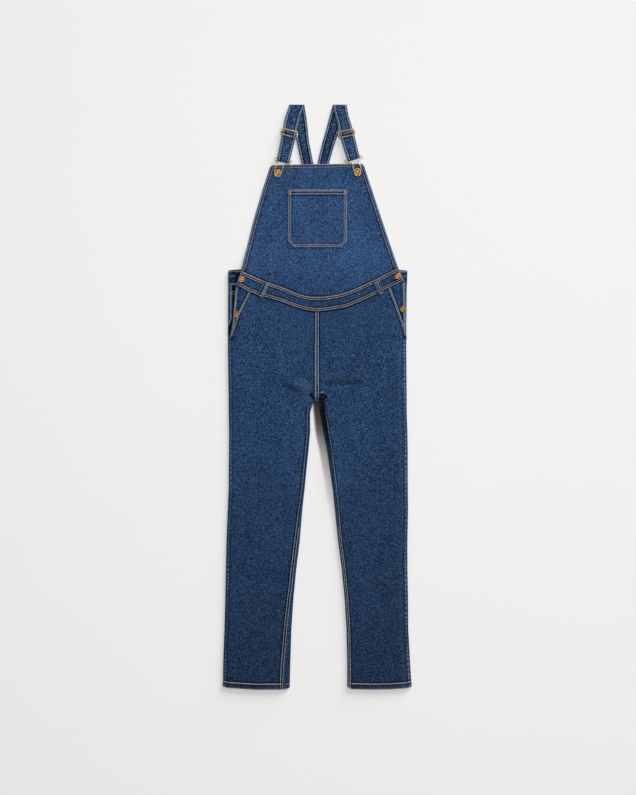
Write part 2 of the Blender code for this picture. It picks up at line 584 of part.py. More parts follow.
def side_placket(side, name, look):
    """Strip sewn to the back's edge in the side opening, under the facing; it takes the
    buttons. Its seam with the back is hidden."""
    ys = np.array([192, 205, 219, 236, 258, 285.8])
    outer = along(LEGS, ys, 1 if side < 0 else 4)
    wrap = side_wrap(ys) - (math.pi / 2 - 1) * FOLD + 1.5
    edge = np.stack([outer - side * wrap, ys], 1)
    inside = np.stack([outer - side * (wrap + 14 + 26 * smooth(192, 240, ys)), ys], 1)
    share = np.linspace(0, 1, 4)[None, :, None]
    plan = edge[:, None] * (1 - share) + inside[:, None] * share
    if side > 0:
        plan = plan[:, ::-1]
    lift = -2 * (DENIM + GAP) - 0.2 - corner_rise(plan[..., 0], plan[..., 1])
    return laid(name, plan, HALF, HALF, look, lift)


def belt_loop(ends, name, look):
    """Narrow folded strip sewn down across the front waistband."""
    (x1, y1), (x0, y0) = ends
    run = np.array([x1 - x0, y1 - y0]) / math.hypot(x1 - x0, y1 - y0)
    side = np.array([run[1], -run[0]])
    up = np.linspace(0, 1, 6)[:, None, None]
    middle = np.array([x0, y0]) * (1 - up) + np.array([x1, y1]) * up
    plan = middle + side * (np.array([-0.5, 0, 0.5]) * LOOP_WIDTH)[None, :, None]
    return laid(name, plan, LOOP, 0.0, look, lift=0.6 + BAND / 2 + GAP + 0.2)


# ---- straps and what holds them ----------------------------------------------------------
def strap(side, look):
    """Strap: sewn on the back waistband, up, over the top, down through the slider, round
    the hook's hidden bar and back up underneath to just below the slider."""
    back, front = STRAP_ROWS[side], STRAP_FRONT_ROWS[side]
    rows = [tuple(row) for row in back]
    bx, by, bw, bt, bz = back[-1]
    for angle in (-90, -60, -30, 0, 30, 60, 90):
        a = math.radians(angle)
        share = (angle + 90) / 180
        x, width = bx + (front[0][0] - bx) * share, bw + (front[0][2] - bw) * share
        rows.append((x, STRAP_TOP_Y - STRAP_TURN * (1 - math.cos(a)), width, 0,
                     bz + STRAP_TURN * (1 + math.sin(a))))
    rows += [tuple(row) for row in front]
    sx, sy, tilt = SLIDERS[side]
    ex, ey, end_width, end_tilt = STRAP_END[side]
    down = np.array([ex - sx, ey - sy]) / math.hypot(ex - sx, ey - sy)
    for v, z in SLIDER_WEAVE[::-1] * (-1, 1):
        rows.append((sx + down[0] * v, sy + down[1] * v, 35.2, tilt, SLIDER_Z + z))
    for v, z in SLIDER_WEAVE[1:]:
        rows.append((sx + down[0] * v, sy + down[1] * v, 35.2, tilt, SLIDER_Z + z))
    low = rows[-1][4]
    far = math.hypot(ex - sx, ey - sy) - HOOK_TURN
    for share, z in ((0.45, 0.2), (0.75, 0.6), (1.0, 1.0)):
        v = 13 + (far - 13) * share
        rows.append((sx + down[0] * v, sy + down[1] * v,
                     35.2 + (end_width - 35.2) * share, tilt + (end_tilt - tilt) * share,
                     low + (HOOK_Z + HOOK_TURN - low) * z))
    for angle in (60, 30, 0, -30, -60, -90):
        a = math.radians(angle)
        v = far + HOOK_TURN * math.cos(a)
        rows.append((sx + down[0] * v, sy + down[1] * v, end_width, end_tilt,
                     HOOK_Z + HOOK_TURN * math.sin(a)))
    for share in (0.65, 0.3, 0.0):
        v = 20 + (far - 20) * share
        rows.append((sx + down[0] * v, sy + down[1] * v,
                     34.4 + (end_width - 34.4) * share, tilt + (end_tilt - tilt) * share,
                     HOOK_Z - HOOK_TURN + 0.0 * share))
    rows = np.array(rows)
    across = np.array([-0.5, 0, 0.5])[None, :]
    tilts = np.radians(rows[:, 3:4])
    x = rows[:, 0:1] + across * rows[:, 2:3] * np.cos(tilts)
    y = rows[:, 1:2] + across * rows[:, 2:3] * np.sin(tilts)
    z = np.broadcast_to(rows[:, 4:5], x.shape)
    grid = np.stack([x, y, z], -1)
    thick = np.where((np.abs(rows[:, 4] - SLIDER_Z) < 2.9) & (rows[:, 1] > 640), 0.9, STRAP / 2)
    return wall(f"strap_{side}", grid[:, ::-1], thick[:, None], thick[:, None], look)


def slider(side, look):
    """Wire slider: a rounded frame that lies over the strap and a middle bar under it."""
    x, y, tilt = SLIDERS[side]
    a, b, c = SLIDER_LONG / 2, SLIDER_SHORT / 2, 3.0
    frame = [(-a + c, -b), (0, -b), (a - c, -b), (a, -b + c), (a, 0), (a, b - c), (a - c, b),
             (0, b), (-a + c, b), (-a, b - c), (-a, 0), (-a, -b + c)]
    points, faces = tube([(u, v, SLIDER_Z) for u, v in frame], WIRE_R)
    bar_path = smooth_bar(a)
    bar_points, bar_faces = rod(bar_path, WIRE_R * 0.98)
    cos, sin = math.cos(math.radians(tilt)), math.sin(math.radians(tilt))

    def placed(p):
        p = np.asarray(p)
        return np.stack([x + p[:, 0] * cos - p[:, 1] * sin,
                         y + p[:, 0] * sin + p[:, 1] * cos, p[:, 2]], 1)

    made = add(f"strap_slider_{side}", placed(points), faces, look)
    bar = add(f"bar_{side}", placed(bar_points), bar_faces, look)
    bar.hide_render = True
    join = made.modifiers.new("middle_bar", "BOOLEAN")
    join.operation, join.solver, join.object = "UNION", "EXACT", bar
    return made


def smooth_bar(half):
    """Straight middle bar between the frame's two short sides."""
    return [(-half, 0, SLIDER_Z), (half, 0, SLIDER_Z)]


def rod(path, radius, sides=10):
    """Points and faces of a straight capped round bar along X."""
    (x0, y0, z0), (x1, _, _) = path
    angle = np.arange(sides) * 2 * math.pi / sides
    ring = [(y0 + radius * math.cos(t), z0 + radius * math.sin(t)) for t in angle]
    points = [(x0, y, z) for y, z in ring] + [(x1, y, z) for y, z in ring]
    faces = [(i, i + sides, (i + 1) % sides + sides, (i + 1) % sides) for i in range(sides)]
    caps = [list(range(sides)), list(range(2 * sides - 1, sides - 1, -1))]
    return points, [tuple(reversed(f)) for f in faces] + [tuple(reversed(c)) for c in caps]


def hook(side, look):
    """Wire hook: a hidden bar in the strap's turn, a neck, a wide keyhole and a ring under
    the button's cap."""
    loop = [(x, y, HOOK_Z) for x, y in HOOKS[side]]
    points, faces = tube(smooth_loop(loop, 4), WIRE_R)
    return add(f"strap_hook_{side}", points, faces, look)


def button(name, centre, radius, base, cap_base, look):
    """Metal button: a short shank from just above the cloth and a dished cap."""
    cap = [(0, 2.3), (0.42, 2.2), (0.66, 1.7), (0.76, 2.3), (0.88, 2.5), (0.97, 2.1),
           (1.0, 1.2), (0.95, 0.2), (0.8, 0.0)]
    profile = [(radius * r, cap_base + h) for r, h in cap]
    profile += [(SHANK_R, cap_base), (SHANK_R, base), (0, base)]
    return turned(name, centre, profile, look)


def main():
    """Clears the scene and builds every piece."""
    for existing in list(bpy.data.objects):
        bpy.data.objects.remove(existing, do_unlink=True)
    denim = material("denim", DENIM_BLUE, 0.0, 0.85)
    gold = material("brass", GOLD, 1.0, 0.35)
    for side, word in ((-1, "left"), (1, "right")):
        front_leg(side, f"front_leg_{word}", denim)
        back_leg(side, f"back_leg_{word}", denim)
        back_yoke(side, f"back_yoke_{word}", denim)
        pocket_facing(side, f"pocket_facing_{word}", denim)
        side_placket(side, f"side_placket_{word}", denim)
        belt_loop(BELT_LOOPS[word], f"belt_loop_{word}", denim)
        strap(word, denim)
        slider(word, gold)
        hook(word, gold)
        x, y = BIB_BUTTONS[word]
        top = float(front_height(x, y)) + HALF + 2 * GAP
        button(f"bib_button_{word}", (x, y), BIB_BUTTON_R, top,
               HOOK_Z + WIRE_R + GAP, gold)
        x, y = WAIST_BUTTONS[word]
        top = float(front_height(x, y)) + 0.6 + BAND / 2 + GAP
        button(f"waist_button_{word}", (x, y), BUTTON_R, top + 0.2, top + 0.8, gold)
        x, y = PLACKET_BUTTONS[word]
        top = float(front_height(x, y)) - DENIM - GAP + HALF + GAP
        button(f"placket_button_{word}", (x, y), BUTTON_R, top + 0.2, top + 0.5, gold)
    back_waistband("back_waistband", denim)
    front_waistband(denim)
    bib(denim)
    bib_pocket(denim)


main()
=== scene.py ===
"""Looks of the denim dungarees, laid flat with the front up.

Sizes are millimetres in the frame's own axes: +X is the viewer's right, +Y runs towards the
straps and +Z up from the floor. They become metres in new_mesh(). side is -1 for the viewer's
left and +1 for the right.
"""
import math

import bpy
import numpy as np
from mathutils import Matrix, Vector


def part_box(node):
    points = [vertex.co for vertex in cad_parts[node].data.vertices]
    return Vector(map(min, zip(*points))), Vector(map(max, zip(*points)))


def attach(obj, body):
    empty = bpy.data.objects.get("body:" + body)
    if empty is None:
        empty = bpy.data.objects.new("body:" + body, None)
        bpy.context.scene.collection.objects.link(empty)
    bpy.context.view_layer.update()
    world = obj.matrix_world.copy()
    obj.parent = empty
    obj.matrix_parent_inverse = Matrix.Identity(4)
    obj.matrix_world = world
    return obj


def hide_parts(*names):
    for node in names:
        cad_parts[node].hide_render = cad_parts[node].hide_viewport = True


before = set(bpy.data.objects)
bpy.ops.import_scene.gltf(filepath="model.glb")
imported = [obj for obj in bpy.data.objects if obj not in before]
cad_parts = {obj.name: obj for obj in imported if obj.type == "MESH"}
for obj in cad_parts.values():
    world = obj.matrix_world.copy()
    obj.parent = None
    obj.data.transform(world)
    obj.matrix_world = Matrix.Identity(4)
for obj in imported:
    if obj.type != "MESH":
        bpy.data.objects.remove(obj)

bpy.context.scene.view_settings.view_transform = "Standard"
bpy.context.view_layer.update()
SIDES = ((-1, "left"), (1, "right"))


# ==========================================================================================
# Front legs: two panels of stretch denim, each with its half of the hips. They are felled to
# the back along the inseam, joined with a stitched centre seam, hemmed, and cut away in a
# slant at the hip, where the pocket's mouth is turned in and stitched twice.
# ==========================================================================================
DENIM_HALF = 0.6  # half of one ply
HEM_TOP = -738.0  # y below which a leg's hem is turned up inside it
HEM_EXTRA = 0.7  # how far the turned-up hem thickens the cloth, on its inner face
EDGE_TURN = 1.9  # radius at which the cloth turns under at an outer edge
LOW = DENIM_HALF  # middle of the ply that rests on the floor
HIGH = LOW + 2 * EDGE_TURN  # middle of the ply above it, at an edge
LOFT = 1.1  # how far the front lifts off in the middle of a leg
STACK = 3.0  # rise of the front over the plies of the side opening
CROTCH_Y = -9.0
MOUTH_END_Y = 143.0
CROSSING = (-9.7, 509.0)  # where the straps cross, under the bib
SEAM_DITCH = 0.8  # how far a panel's edge stops short of the seam line over it
BIB_LEAN = 0.293  # x that the bib's sides run in for each y


def cad_box(node):
    """Lowest and highest corner of a CAD node's box, mm."""
    return np.array(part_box(node)) * 1000


# y, left leg's outer and inner edge, right leg's inner and outer edge
LEGS = np.array([
    (-752.0, -241.2, -71.7, 77.3, 240.4), (-686.0, -240.2, -69.9, 77.4, 236.3),
    (-593.0, -237.1, -67.1, 75.2, 231.7), (-517.0, -235.0, -62.2, 70.6, 231.2),
    (-440.0, -233.6, -55.0, 63.2, 229.6), (-368.0, -231.9, -46.0, 53.6, 229.6),
    (-286.0, -228.6, -39.2, 45.3, 231.2), (-232.0, -226.4, -33.3, 39.4, 230.6),
    (-179.0, -226.0, -28.2, 31.5, 230.4), (-130.0, -225.6, -23.0, 24.3, 230.4),
    (-86.0, -225.3, -19.2, 15.4, 229.5), (-40.0, -226.4, -19.5, 7.6, 227.8),
    (-20.0, -226.4, -14.1, 4.9, 227.8), (-12.5, -226.4, -10.5, 3.2, 227.8),
    (-9.0, -226.4, -0.9, 0.9, 227.8), (4.0, -226.5, -0.6, 0.6, 227.7),
    (131.0, -228.4, -0.15, 0.15, 226.6), (262.0, -228.0, -0.15, 0.15, 227.6),
    (322.0, -226.4, -0.15, 0.15, 228.6),
])
# y, how far the left and right inseam sit on the front, in from the leg's inner edge
INSEAMS = np.array([
    (-752.0, 17.5, 3.3), (-690.0, 16.5, 3.3), (-583.0, 11.0, 3.3), (-476.0, 6.4, 3.3),
    (-368.0, 6.0, 3.6), (-290.0, 2.4, 4.6), (-240.0, 0.2, 5.0), (-130.0, 0.2, 7.4),
    (-60.0, 0.2, 10.0), (-25.0, 0.2, 9.0), (-9.0, 0.2, 0.2), (600.0, 0.2, 0.2),
])
# x, y of the hems
HEMS = {
    -1: np.array([(-239, -739.8), (-231, -742.5), (-200, -744.5), (-156, -747.3),
                  (-94, -746.8), (-80, -745.5), (-72, -743.0)]),
    1: np.array([(77, -740.2), (87, -745.5), (138, -746.8), (189, -746.0), (227, -743.5),
                 (239, -740.2)]),
}
# x, y of the front waistband's edges, from the left end to the right
BAND_TOP = np.array([(-194.6, 323.1), (-166, 309.4), (-133.1, 295.2), (-90.1, 282.0),
                     (-61.4, 268.3), (-32.8, 258.6), (0, 256.0), (43.5, 260.6),
                     (79.4, 269.3), (115.5, 286.2), (156.7, 305.4), (205.6, 330.6)])
BAND_BOTTOM = np.array([(-207.9, 288.0), (-176.6, 270.8), (-147.7, 260.2), (-122.9, 253.0),
                        (-95.7, 245.4), (-54.3, 230.0), (-23.8, 221.9), (3.1, 219.6),
                        (52.5, 225.6), (79.4, 232.0), (97.5, 239.2), (133.4, 255.4),
                        (187.4, 282.6), (220.7, 298.0)])
# y, left and right pocket mouth
MOUTH = np.array([(143.0, -225.6, 228.6), (158, -222.9, 227.6), (170, -218.6, 225.6),
                  (182, -214.2, 221.6), (216, -202.4, 210.0), (248, -186.5, 198.1),
                  (266.5, -176.6, 191.2), (278.0, -170.0, 186.6)])
# Largest folds: start x y, end x y, half width, height (a trough is negative)
FOLDS = np.array([
    (-20, 13, -8, -8, 4, -0.9), (10, 10, 27, -14, 5, -0.9), (-88, 38, -48, 13, 9, -0.8),
    (14, 37, 120, 39, 10, -0.7), (-78, 42, -14, 20, 6, 0.7), (22, 20, 80, 24, 7, 0.5),
    (-196, -210, -96, -262, 26, -0.6), (86, -236, 196, -206, 26, -0.6),
    (-206, -440, -122, -480, 22, -0.5), (110, -500, 204, -462, 22, -0.5),
])
# Finer creases of the front, in the same columns
CREASES = np.array([
    (-38, 30, -14, 14, 4, -0.5), (-17, 11, -8, -5, 3, -0.8), (3, 12, 15, 14, 3, 0.5),
    (15, 14, 24, -2, 3, -0.7), (24, -2, 27, -12, 4, -0.6), (-74, 70, -30, 40, 7, -0.35),
    (-96, 24, -44, 8, 8, 0.35), (30, 44, 96, 72, 8, 0.35), (38, 12, 104, 34, 9, -0.3),
    (-180, 96, -120, 62, 14, 0.3), (130, 84, 196, 118, 14, 0.3),
    (-214, -36, -150, -58, 12, -0.3), (140, -60, 208, -38, 12, -0.3),
    (-205, -300, -110, -322, 15, 0.35), (96, -318, 200, -292, 15, 0.35),
    (-214, -372, -150, -394, 12, -0.3), (112, -398, 206, -372, 13, -0.3),
    (-190, -560, -104, -588, 17, 0.3), (112, -584, 200, -556, 17, 0.3),
    (-210, -646, -150, -662, 12, -0.25), (130, -668, 214, -640, 12, -0.25),
])


def smooth(low, high, value):
    """0 below low, 1 above high and the curve t t (3 - 2 t) between."""
    t = np.clip((np.asarray(value, float) - low) / (high - low), 0, 1)
    return t * t * (3 - 2 * t)


def between(low, high, soft, value):
    """1 from low to high, falling to 0 over soft on either side."""
    return smooth(low - soft, low + soft, value) * (1 - smooth(high - soft, high + soft, value))


def bell(middle, half, value):
    """exp(-t t), where t is the distance from middle in half widths."""
    return np.exp(-(((value - middle) / half) ** 2))


def along(table, value, column=1):
    """A column of a table at a value of its first column."""
    return np.interp(value, table[:, 0], table[:, column])


def length_along(points):
    """Length of a line from its start to each of its points."""
    spans = np.linalg.norm(np.diff(points, axis=0), axis=1)
    return np.concatenate([[0], np.cumsum(spans)])


def resample(line, stations):
    """Points of a polyline at fractions of its length."""
    line = np.asarray(line, float)
    length = length_along(line)
    share = length / length[-1]
    return np.stack([np.interp(stations, share, column) for column in line.T], axis=1)


def curve(corners, steps, closed=False):
    """Catmull-Rom curve through corners: each span is the cubic that has half the chord of
    its neighbours as slope at either end."""
    p = np.asarray(corners, float)
    if not closed:
        p = np.concatenate([[2 * p[0] - p[1]], p, [2 * p[-1] - p[-2]]])
    before, after, later = np.roll(p, 1, 0), np.roll(p, -1, 0), np.roll(p, -2, 0)
    t = (np.arange(steps) / steps)[None, :, None]
    a, b, c, d = (q[:, None] for q in (before, p, after, later))
    spans = 0.5 * (2 * b + (c - a) * t + (2 * a - 5 * b + 4 * c - d) * t**2
                   + (3 * b - a - 3 * c + d) * t**3)
    if closed:
        return spans.reshape(-1, p.shape[1])
    return np.concatenate([spans[1:-2].reshape(-1, p.shape[1]), p[-2:-1]])


BAND_TOP = curve(resample(BAND_TOP, np.linspace(0, 1, 15)), 6)
BAND_BOTTOM = curve(resample(BAND_BOTTOM, np.linspace(0, 1, 15)), 6)


def outline(side, y):
    """x of a leg's (or the body's) outer and inner edge."""
    outer, inner = (1, 2) if side < 0 else (4, 3)
    return along(LEGS, y, outer), along(LEGS, y, inner)


def turn(arc, radius):
    """Distance in from an edge's extreme and height above its middle, for an arc along the
    cloth from that extreme: a quarter circle, then straight in. Negative runs underneath."""
    quarter = radius * math.pi / 2
    angle = np.clip(arc / radius, -math.pi / 2, math.pi / 2)
    beyond = np.maximum(np.abs(arc) - quarter, 0)
    return radius * (1 - np.cos(angle)) + beyond, radius * np.sin(angle)


def lines(table, x, y):
    """Sum of bells across the lines of a table, each fading at its ends."""
    total = np.zeros(np.broadcast(x, y).shape)
    for x0, y0, x1, y1, half, height in table:
        dx, dy = x1 - x0, y1 - y0
        t = ((x - x0) * dx + (y - y0) * dy) / (dx * dx + dy * dy)
        off = ((x - x0) * dy - (y - y0) * dx) / math.hypot(dx, dy)
        ends = smooth(-0.15, 0.2, t) * (1 - smooth(0.8, 1.15, t))
        total += height * np.exp(-((off / half) ** 2)) * ends
    return total


def swell(x, y):
    """Slack that stays in cloth laid flat: the mean of five long sines in five directions,
    raised so that it is never negative."""
    waves = ((71, 0.021, 0.047), (13, -0.034, 0.029), (37, 0.052, 0.016),
             (5, 0.012, -0.071), (29, 0.043, 0.061))
    return 0.45 * (1 + sum(np.sin(x * a + y * b + phase) for phase, a, b in waves) / 5)


def side_stack(x, y):
    """1 where the front lies on the plies of the side opening, 0 clear of them."""
    return (smooth(144, 163, y) * smooth(148, 182, np.abs(x))
            * (1 - smooth(345, 400, y)))


def corner_rise(x, y):
    """How much more the thick corner at the waist's right end lifts the front."""
    return 1.5 * smooth(184, 200, x) * smooth(258, 280, y) * (1 - smooth(318, 360, y))


def bib_height(x, y):
    """Middle of the bib's ply above the waist: on the floor at its edges, over the straps in
    the middle and higher where they cross."""
    over = 1 - smooth(46, 108, np.abs(x))
    crossing = np.hypot((x - CROSSING[0]) * 1.2, y - CROSSING[1])
    slack = 1 - np.exp(-np.maximum(116.5 + (590 - y) * BIB_LEAN - np.abs(x), 0) / 22)
    return (1.2 + 3.2 * over + 2.4 * (1 - smooth(50, 140, crossing)) * over
            + swell(x, y) * slack)


def front_height(x, y):
    """Middle of the front's ply, for legs, hips, waistband and bib: the ply's height at an
    edge, a loft that grows away from the edges, folds, and steps over what lies under it."""
    edges = [outline(side, y) for side in (-1, 1)]
    outer = np.maximum(np.minimum(x - edges[0][0], edges[1][0] - x), 0)
    inner = np.where(x < 0, np.abs(x - edges[0][1]), np.abs(x - edges[1][1]))
    split = 1 - smooth(-60, -8, y)
    free = (1 - np.exp(-outer / 16)) * (1 - split * np.exp(-inner / 16))
    rise = (LOFT + swell(x, y) + lines(CREASES, x, y)) * free + lines(FOLDS, x, y)
    rise = rise + 0.8 * smooth(262, 308, y)
    stack = side_stack(x, y)
    worn = HIGH + rise * (1 - stack) + STACK * stack + corner_rise(x, y)
    return worn + (bib_height(x, y) - worn) * smooth(335, 410, y)


def gathers(distance, pitch, start):
    """0 to 1: the small ridges that thread pulls up along a seam, a sine whose pitch and
    height drift with two slower sines."""
    phase = (2 * math.pi * distance / pitch + 1.7 * np.sin(distance / 29 + start)
             + 1.1 * np.sin(distance / 12 + 2 * start))
    height = 0.62 + 0.24 * np.sin(distance / 43 + 3 * start) + 0.14 * np.sin(distance / 19)
    return (0.5 + 0.5 * np.sin(phase)) ** 1.3 * height


def new_mesh(name, points, faces, look, uv=None, marks=None):
    """One object from points in mm and quads, smooth shaded, with its cloth coordinates (mm
    along the weft and the warp) as a UV map in metres and marks as point attributes."""
    mesh = bpy.data.meshes.new(name)
    points, faces = np.asarray(points, float).reshape(-1, 3), np.asarray(faces)
    mesh.from_pydata((points / 1000).tolist(), [], faces.tolist())
    mesh.materials.append(look)
    mesh.polygons.foreach_set("use_smooth", np.ones(len(mesh.polygons), bool))
    if uv is not None:
        corner = np.empty(len(mesh.loops), int)
        mesh.loops.foreach_get("vertex_index", corner)
        layer = mesh.uv_layers.new(name="cloth")
        layer.data.foreach_set("uv", (np.asarray(uv).reshape(-1, 2)[corner] / 1000).ravel())
    for mark, value in (marks or {}).items():
        attribute = mesh.attributes.new(mark, "FLOAT", "POINT")
        attribute.data.foreach_set("value", np.asarray(value, float).ravel())
    made = bpy.data.objects.new(name, mesh)
    bpy.context.scene.collection.objects.link(made)
    return made


class Cloth:
    """A piece of cloth on a grid of points: a closed wall with round edges.

    The face is the grid moved out along its normals by outer, the back the grid moved in by
    inner. Round the rim the wall bulges out in a half ellipse. flip turns the face to the
    other side of the grid. The mark it takes is 1 on worn, pale indigo and on painted
    highlights, and -1 in painted shade.
    """

    RIM = 4  # steps from face to back round an edge

    def __init__(self, name, grid, uv, look, outer, inner, wear_and_shade=0.0, flip=False, bulge=0.15):
        grid = np.asarray(grid, float)
        rows, columns = grid.shape[:2]
        across = np.gradient(grid, axis=1, edge_order=2)
        up = np.gradient(grid, axis=0, edge_order=2)
        normal = np.cross(across, up) * (-1 if flip else 1)
        normal /= np.linalg.norm(normal, axis=2, keepdims=True)
        outer = np.broadcast_to(outer, grid.shape[:2])[..., None]
        inner = np.broadcast_to(inner, grid.shape[:2])[..., None]
        self.face, self.normal = grid + normal * outer, normal
        back = grid - normal * inner
        wear_and_shade = np.broadcast_to(wear_and_shade, grid.shape[:2])

        index = np.arange(rows * columns).reshape(rows, columns)
        a, b, c, d = index[:-1, :-1], index[:-1, 1:], index[1:, 1:], index[1:, :-1]
        faces = [np.stack([a, b, c, d], -1).reshape(-1, 4),
                 np.stack([a, d, c, b], -1).reshape(-1, 4) + rows * columns]
        # The rim, once round, and the neighbour just inside each of its points.
        rim = np.concatenate([index[0, :-1], index[:-1, -1], index[-1, :0:-1], index[:0:-1, 0]])
        row, column = rim // columns, rim % columns
        inside = (np.clip(row, 1, rows - 2), np.clip(column, 1, columns - 2))
        away = grid[row, column] - grid[inside]
        reach = np.linalg.norm(away, axis=1, keepdims=True)
        away, away_uv = away / reach, (uv[row, column] - uv[inside]) / reach
        top, bottom = self.face[row, column], back[row, column]
        rings, ring_uv = [], []
        for step in range(1, self.RIM):
            angle = math.pi * step / self.RIM
            rings.append((top + bottom) / 2 + (top - bottom) / 2 * math.cos(angle)
                         + away * bulge * math.sin(angle))
            ring_uv.append(uv[row, column] + away_uv * bulge * step)
        first = 2 * rows * columns
        loops = [rim] + [first + k * len(rim) + np.arange(len(rim)) for k in range(self.RIM - 1)]
        loops.append(rim + rows * columns)
        for near, far in zip(loops[:-1], loops[1:]):
            faces.append(np.stack([near, far, np.roll(far, -1), np.roll(near, -1)], -1))
        faces = np.concatenate(faces)
        points = np.concatenate([self.face.reshape(-1, 3), back.reshape(-1, 3), *rings])
        all_uv = np.concatenate([uv.reshape(-1, 2), uv.reshape(-1, 2), *ring_uv])
        rim_wear = np.tile(wear_and_shade[row, column], self.RIM - 1)
        marks = {"wear_and_shade": np.concatenate([wear_and_shade.ravel(), wear_and_shade.ravel(), rim_wear])}
        faces = faces[:, ::-1] if flip else faces
        self.object = new_mesh(f"{name}_cloth", points, faces, look, all_uv, marks)

    def read(self, row, column):
        """Face points and normals at fractional rows and columns, bilinear."""
        rows, columns = self.face.shape[:2]
        row, column = np.clip(row, 0, rows - 1.001), np.clip(column, 0, columns - 1.001)
        i, j = row.astype(int), column.astype(int)
        s, t = (row - i)[:, None], (column - j)[:, None]
        both = np.concatenate([self.face, self.normal], -1)
        mixed = ((both[i, j] * (1 - t) + both[i, j + 1] * t) * (1 - s)
                 + (both[i + 1, j] * (1 - t) + both[i + 1, j + 1] * t) * s)
        return mixed[:, :3], mixed[:, 3:]

    def inset(self, edge, distance):
        """Fractional rows and columns of the line that runs distance in from an edge: left
        and right are the first and last column, low and high the first and last row."""
        face = self.face if edge in ("left", "right") else self.face.swapaxes(0, 1)
        if edge in ("right", "high"):
            face = face[:, ::-1]
        steps = np.linalg.norm(np.diff(face, axis=1), axis=2)
        length = np.concatenate([np.zeros((len(face), 1)), np.cumsum(steps, axis=1)], axis=1)
        k = np.clip((length < distance).sum(axis=1), 1, face.shape[1] - 1)[:, None]
        before = np.take_along_axis(length, k - 1, 1)
        after = np.take_along_axis(length, k, 1)
        across = (k - 1 + (distance - before) / (after - before))[:, 0]
        if edge in ("right", "high"):
            across = face.shape[1] - 1 - across
        run = np.arange(len(face), dtype=float)
        return (run, across) if edge in ("left", "right") else (across, run)

    def seam(self, edge, distance, start=0.0, end=0.0):
        """Points and normals along that line, without its first start and last end mm."""
        points, normals = self.read(*self.inset(edge, distance))
        length = length_along(points)
        kept = (length >= start) & (length <= length[-1] - end)
        return points[kept], normals[kept]

    def upright(self, edge, distance, low, high=math.inf):
        """The part of that line whose y is between two values."""
        points, normals = self.seam(edge, distance)
        on = (points[:, 1] > low) & (points[:, 1] < high)
        return points[on], normals[on]

    def fit(self, node):
        """Rides the cloth on the garment's one body, in place of its CAD node."""
        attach(self.object, "root")
        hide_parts(node)


class Link:
    """One output socket in a material's tree. Arithmetic on it adds Math nodes to the tree,
    and node() adds any other node."""

    def __init__(self, tree, socket=None):
        self.tree, self.socket = tree, socket

    def node(self, kind, inputs=None, out=0, **settings):
        """A node of that kind: settings first (stops are a ramp's), then values or links."""
        made = self.tree.nodes.new("ShaderNode" + kind)
        stops = settings.pop("stops", ())
        for name, value in settings.items():
            setattr(made, name, value)
        for k, (place, colour) in enumerate(stops):
            ramp = made.color_ramp.elements
            stop = ramp[k] if k < 2 else ramp.new(place)
            stop.position, stop.color = place, (*colour, 1)
        for name, value in (inputs or {}).items():
            if isinstance(value, Link):
                self.tree.links.new(value.socket, made.inputs[name])
            else:
                made.inputs[name].default_value = value
        return Link(self.tree, made.outputs[out])

    def math(self, operation, *values):
        return self.node("Math", dict(enumerate(values)), operation=operation)

    def mix(self, colour, other, share):
        """This tree's mix of two colours, by share."""
        return self.node("Mix", {0: share, 6: colour, 7: other}, out=2, data_type="RGBA")

    def noise(self, scale, detail=2.0, rough=0.5, w=0.0):
        """Noise from 0 to 1 on this vector, stretched by scale = lumps per metre on each axis."""
        placed = self.node("Mapping", {"Vector": self, "Scale": scale, "Location": (w, w, w)})
        return self.node("TexNoise", {"Vector": placed, "Scale": 1.0, "Detail": detail,
                                      "Roughness": rough})

    def above(self, low, high):
        """0 below low, 1 above high, smooth between."""
        return self.node("MapRange", {"Value": self, "From Min": low, "From Max": high},
                         interpolation_type="SMOOTHSTEP")

    def __add__(self, other):
        return self.math("ADD", self, other)

    def __sub__(self, other):
        return self.math("SUBTRACT", self, other)

    def __rsub__(self, other):
        return self.math("SUBTRACT", other, self)

    def __mul__(self, other):
        return self.math("MULTIPLY", self, other)

    __radd__, __rmul__ = __add__, __mul__


def new_material(name):
    """An empty Principled material: the material, a Link to its tree and its shader."""
    made = bpy.data.materials.new(name)
    made.use_nodes = True
    return made, Link(made.node_tree), made.node_tree.nodes["Principled BSDF"]


def plug(tree, shader, **links):
    """Joins links to the shader's sockets; an underscore in a name stands for a space."""
    for name, link in links.items():
        tree.tree.links.new(link.socket, shader.inputs[name.replace("_", " ")])


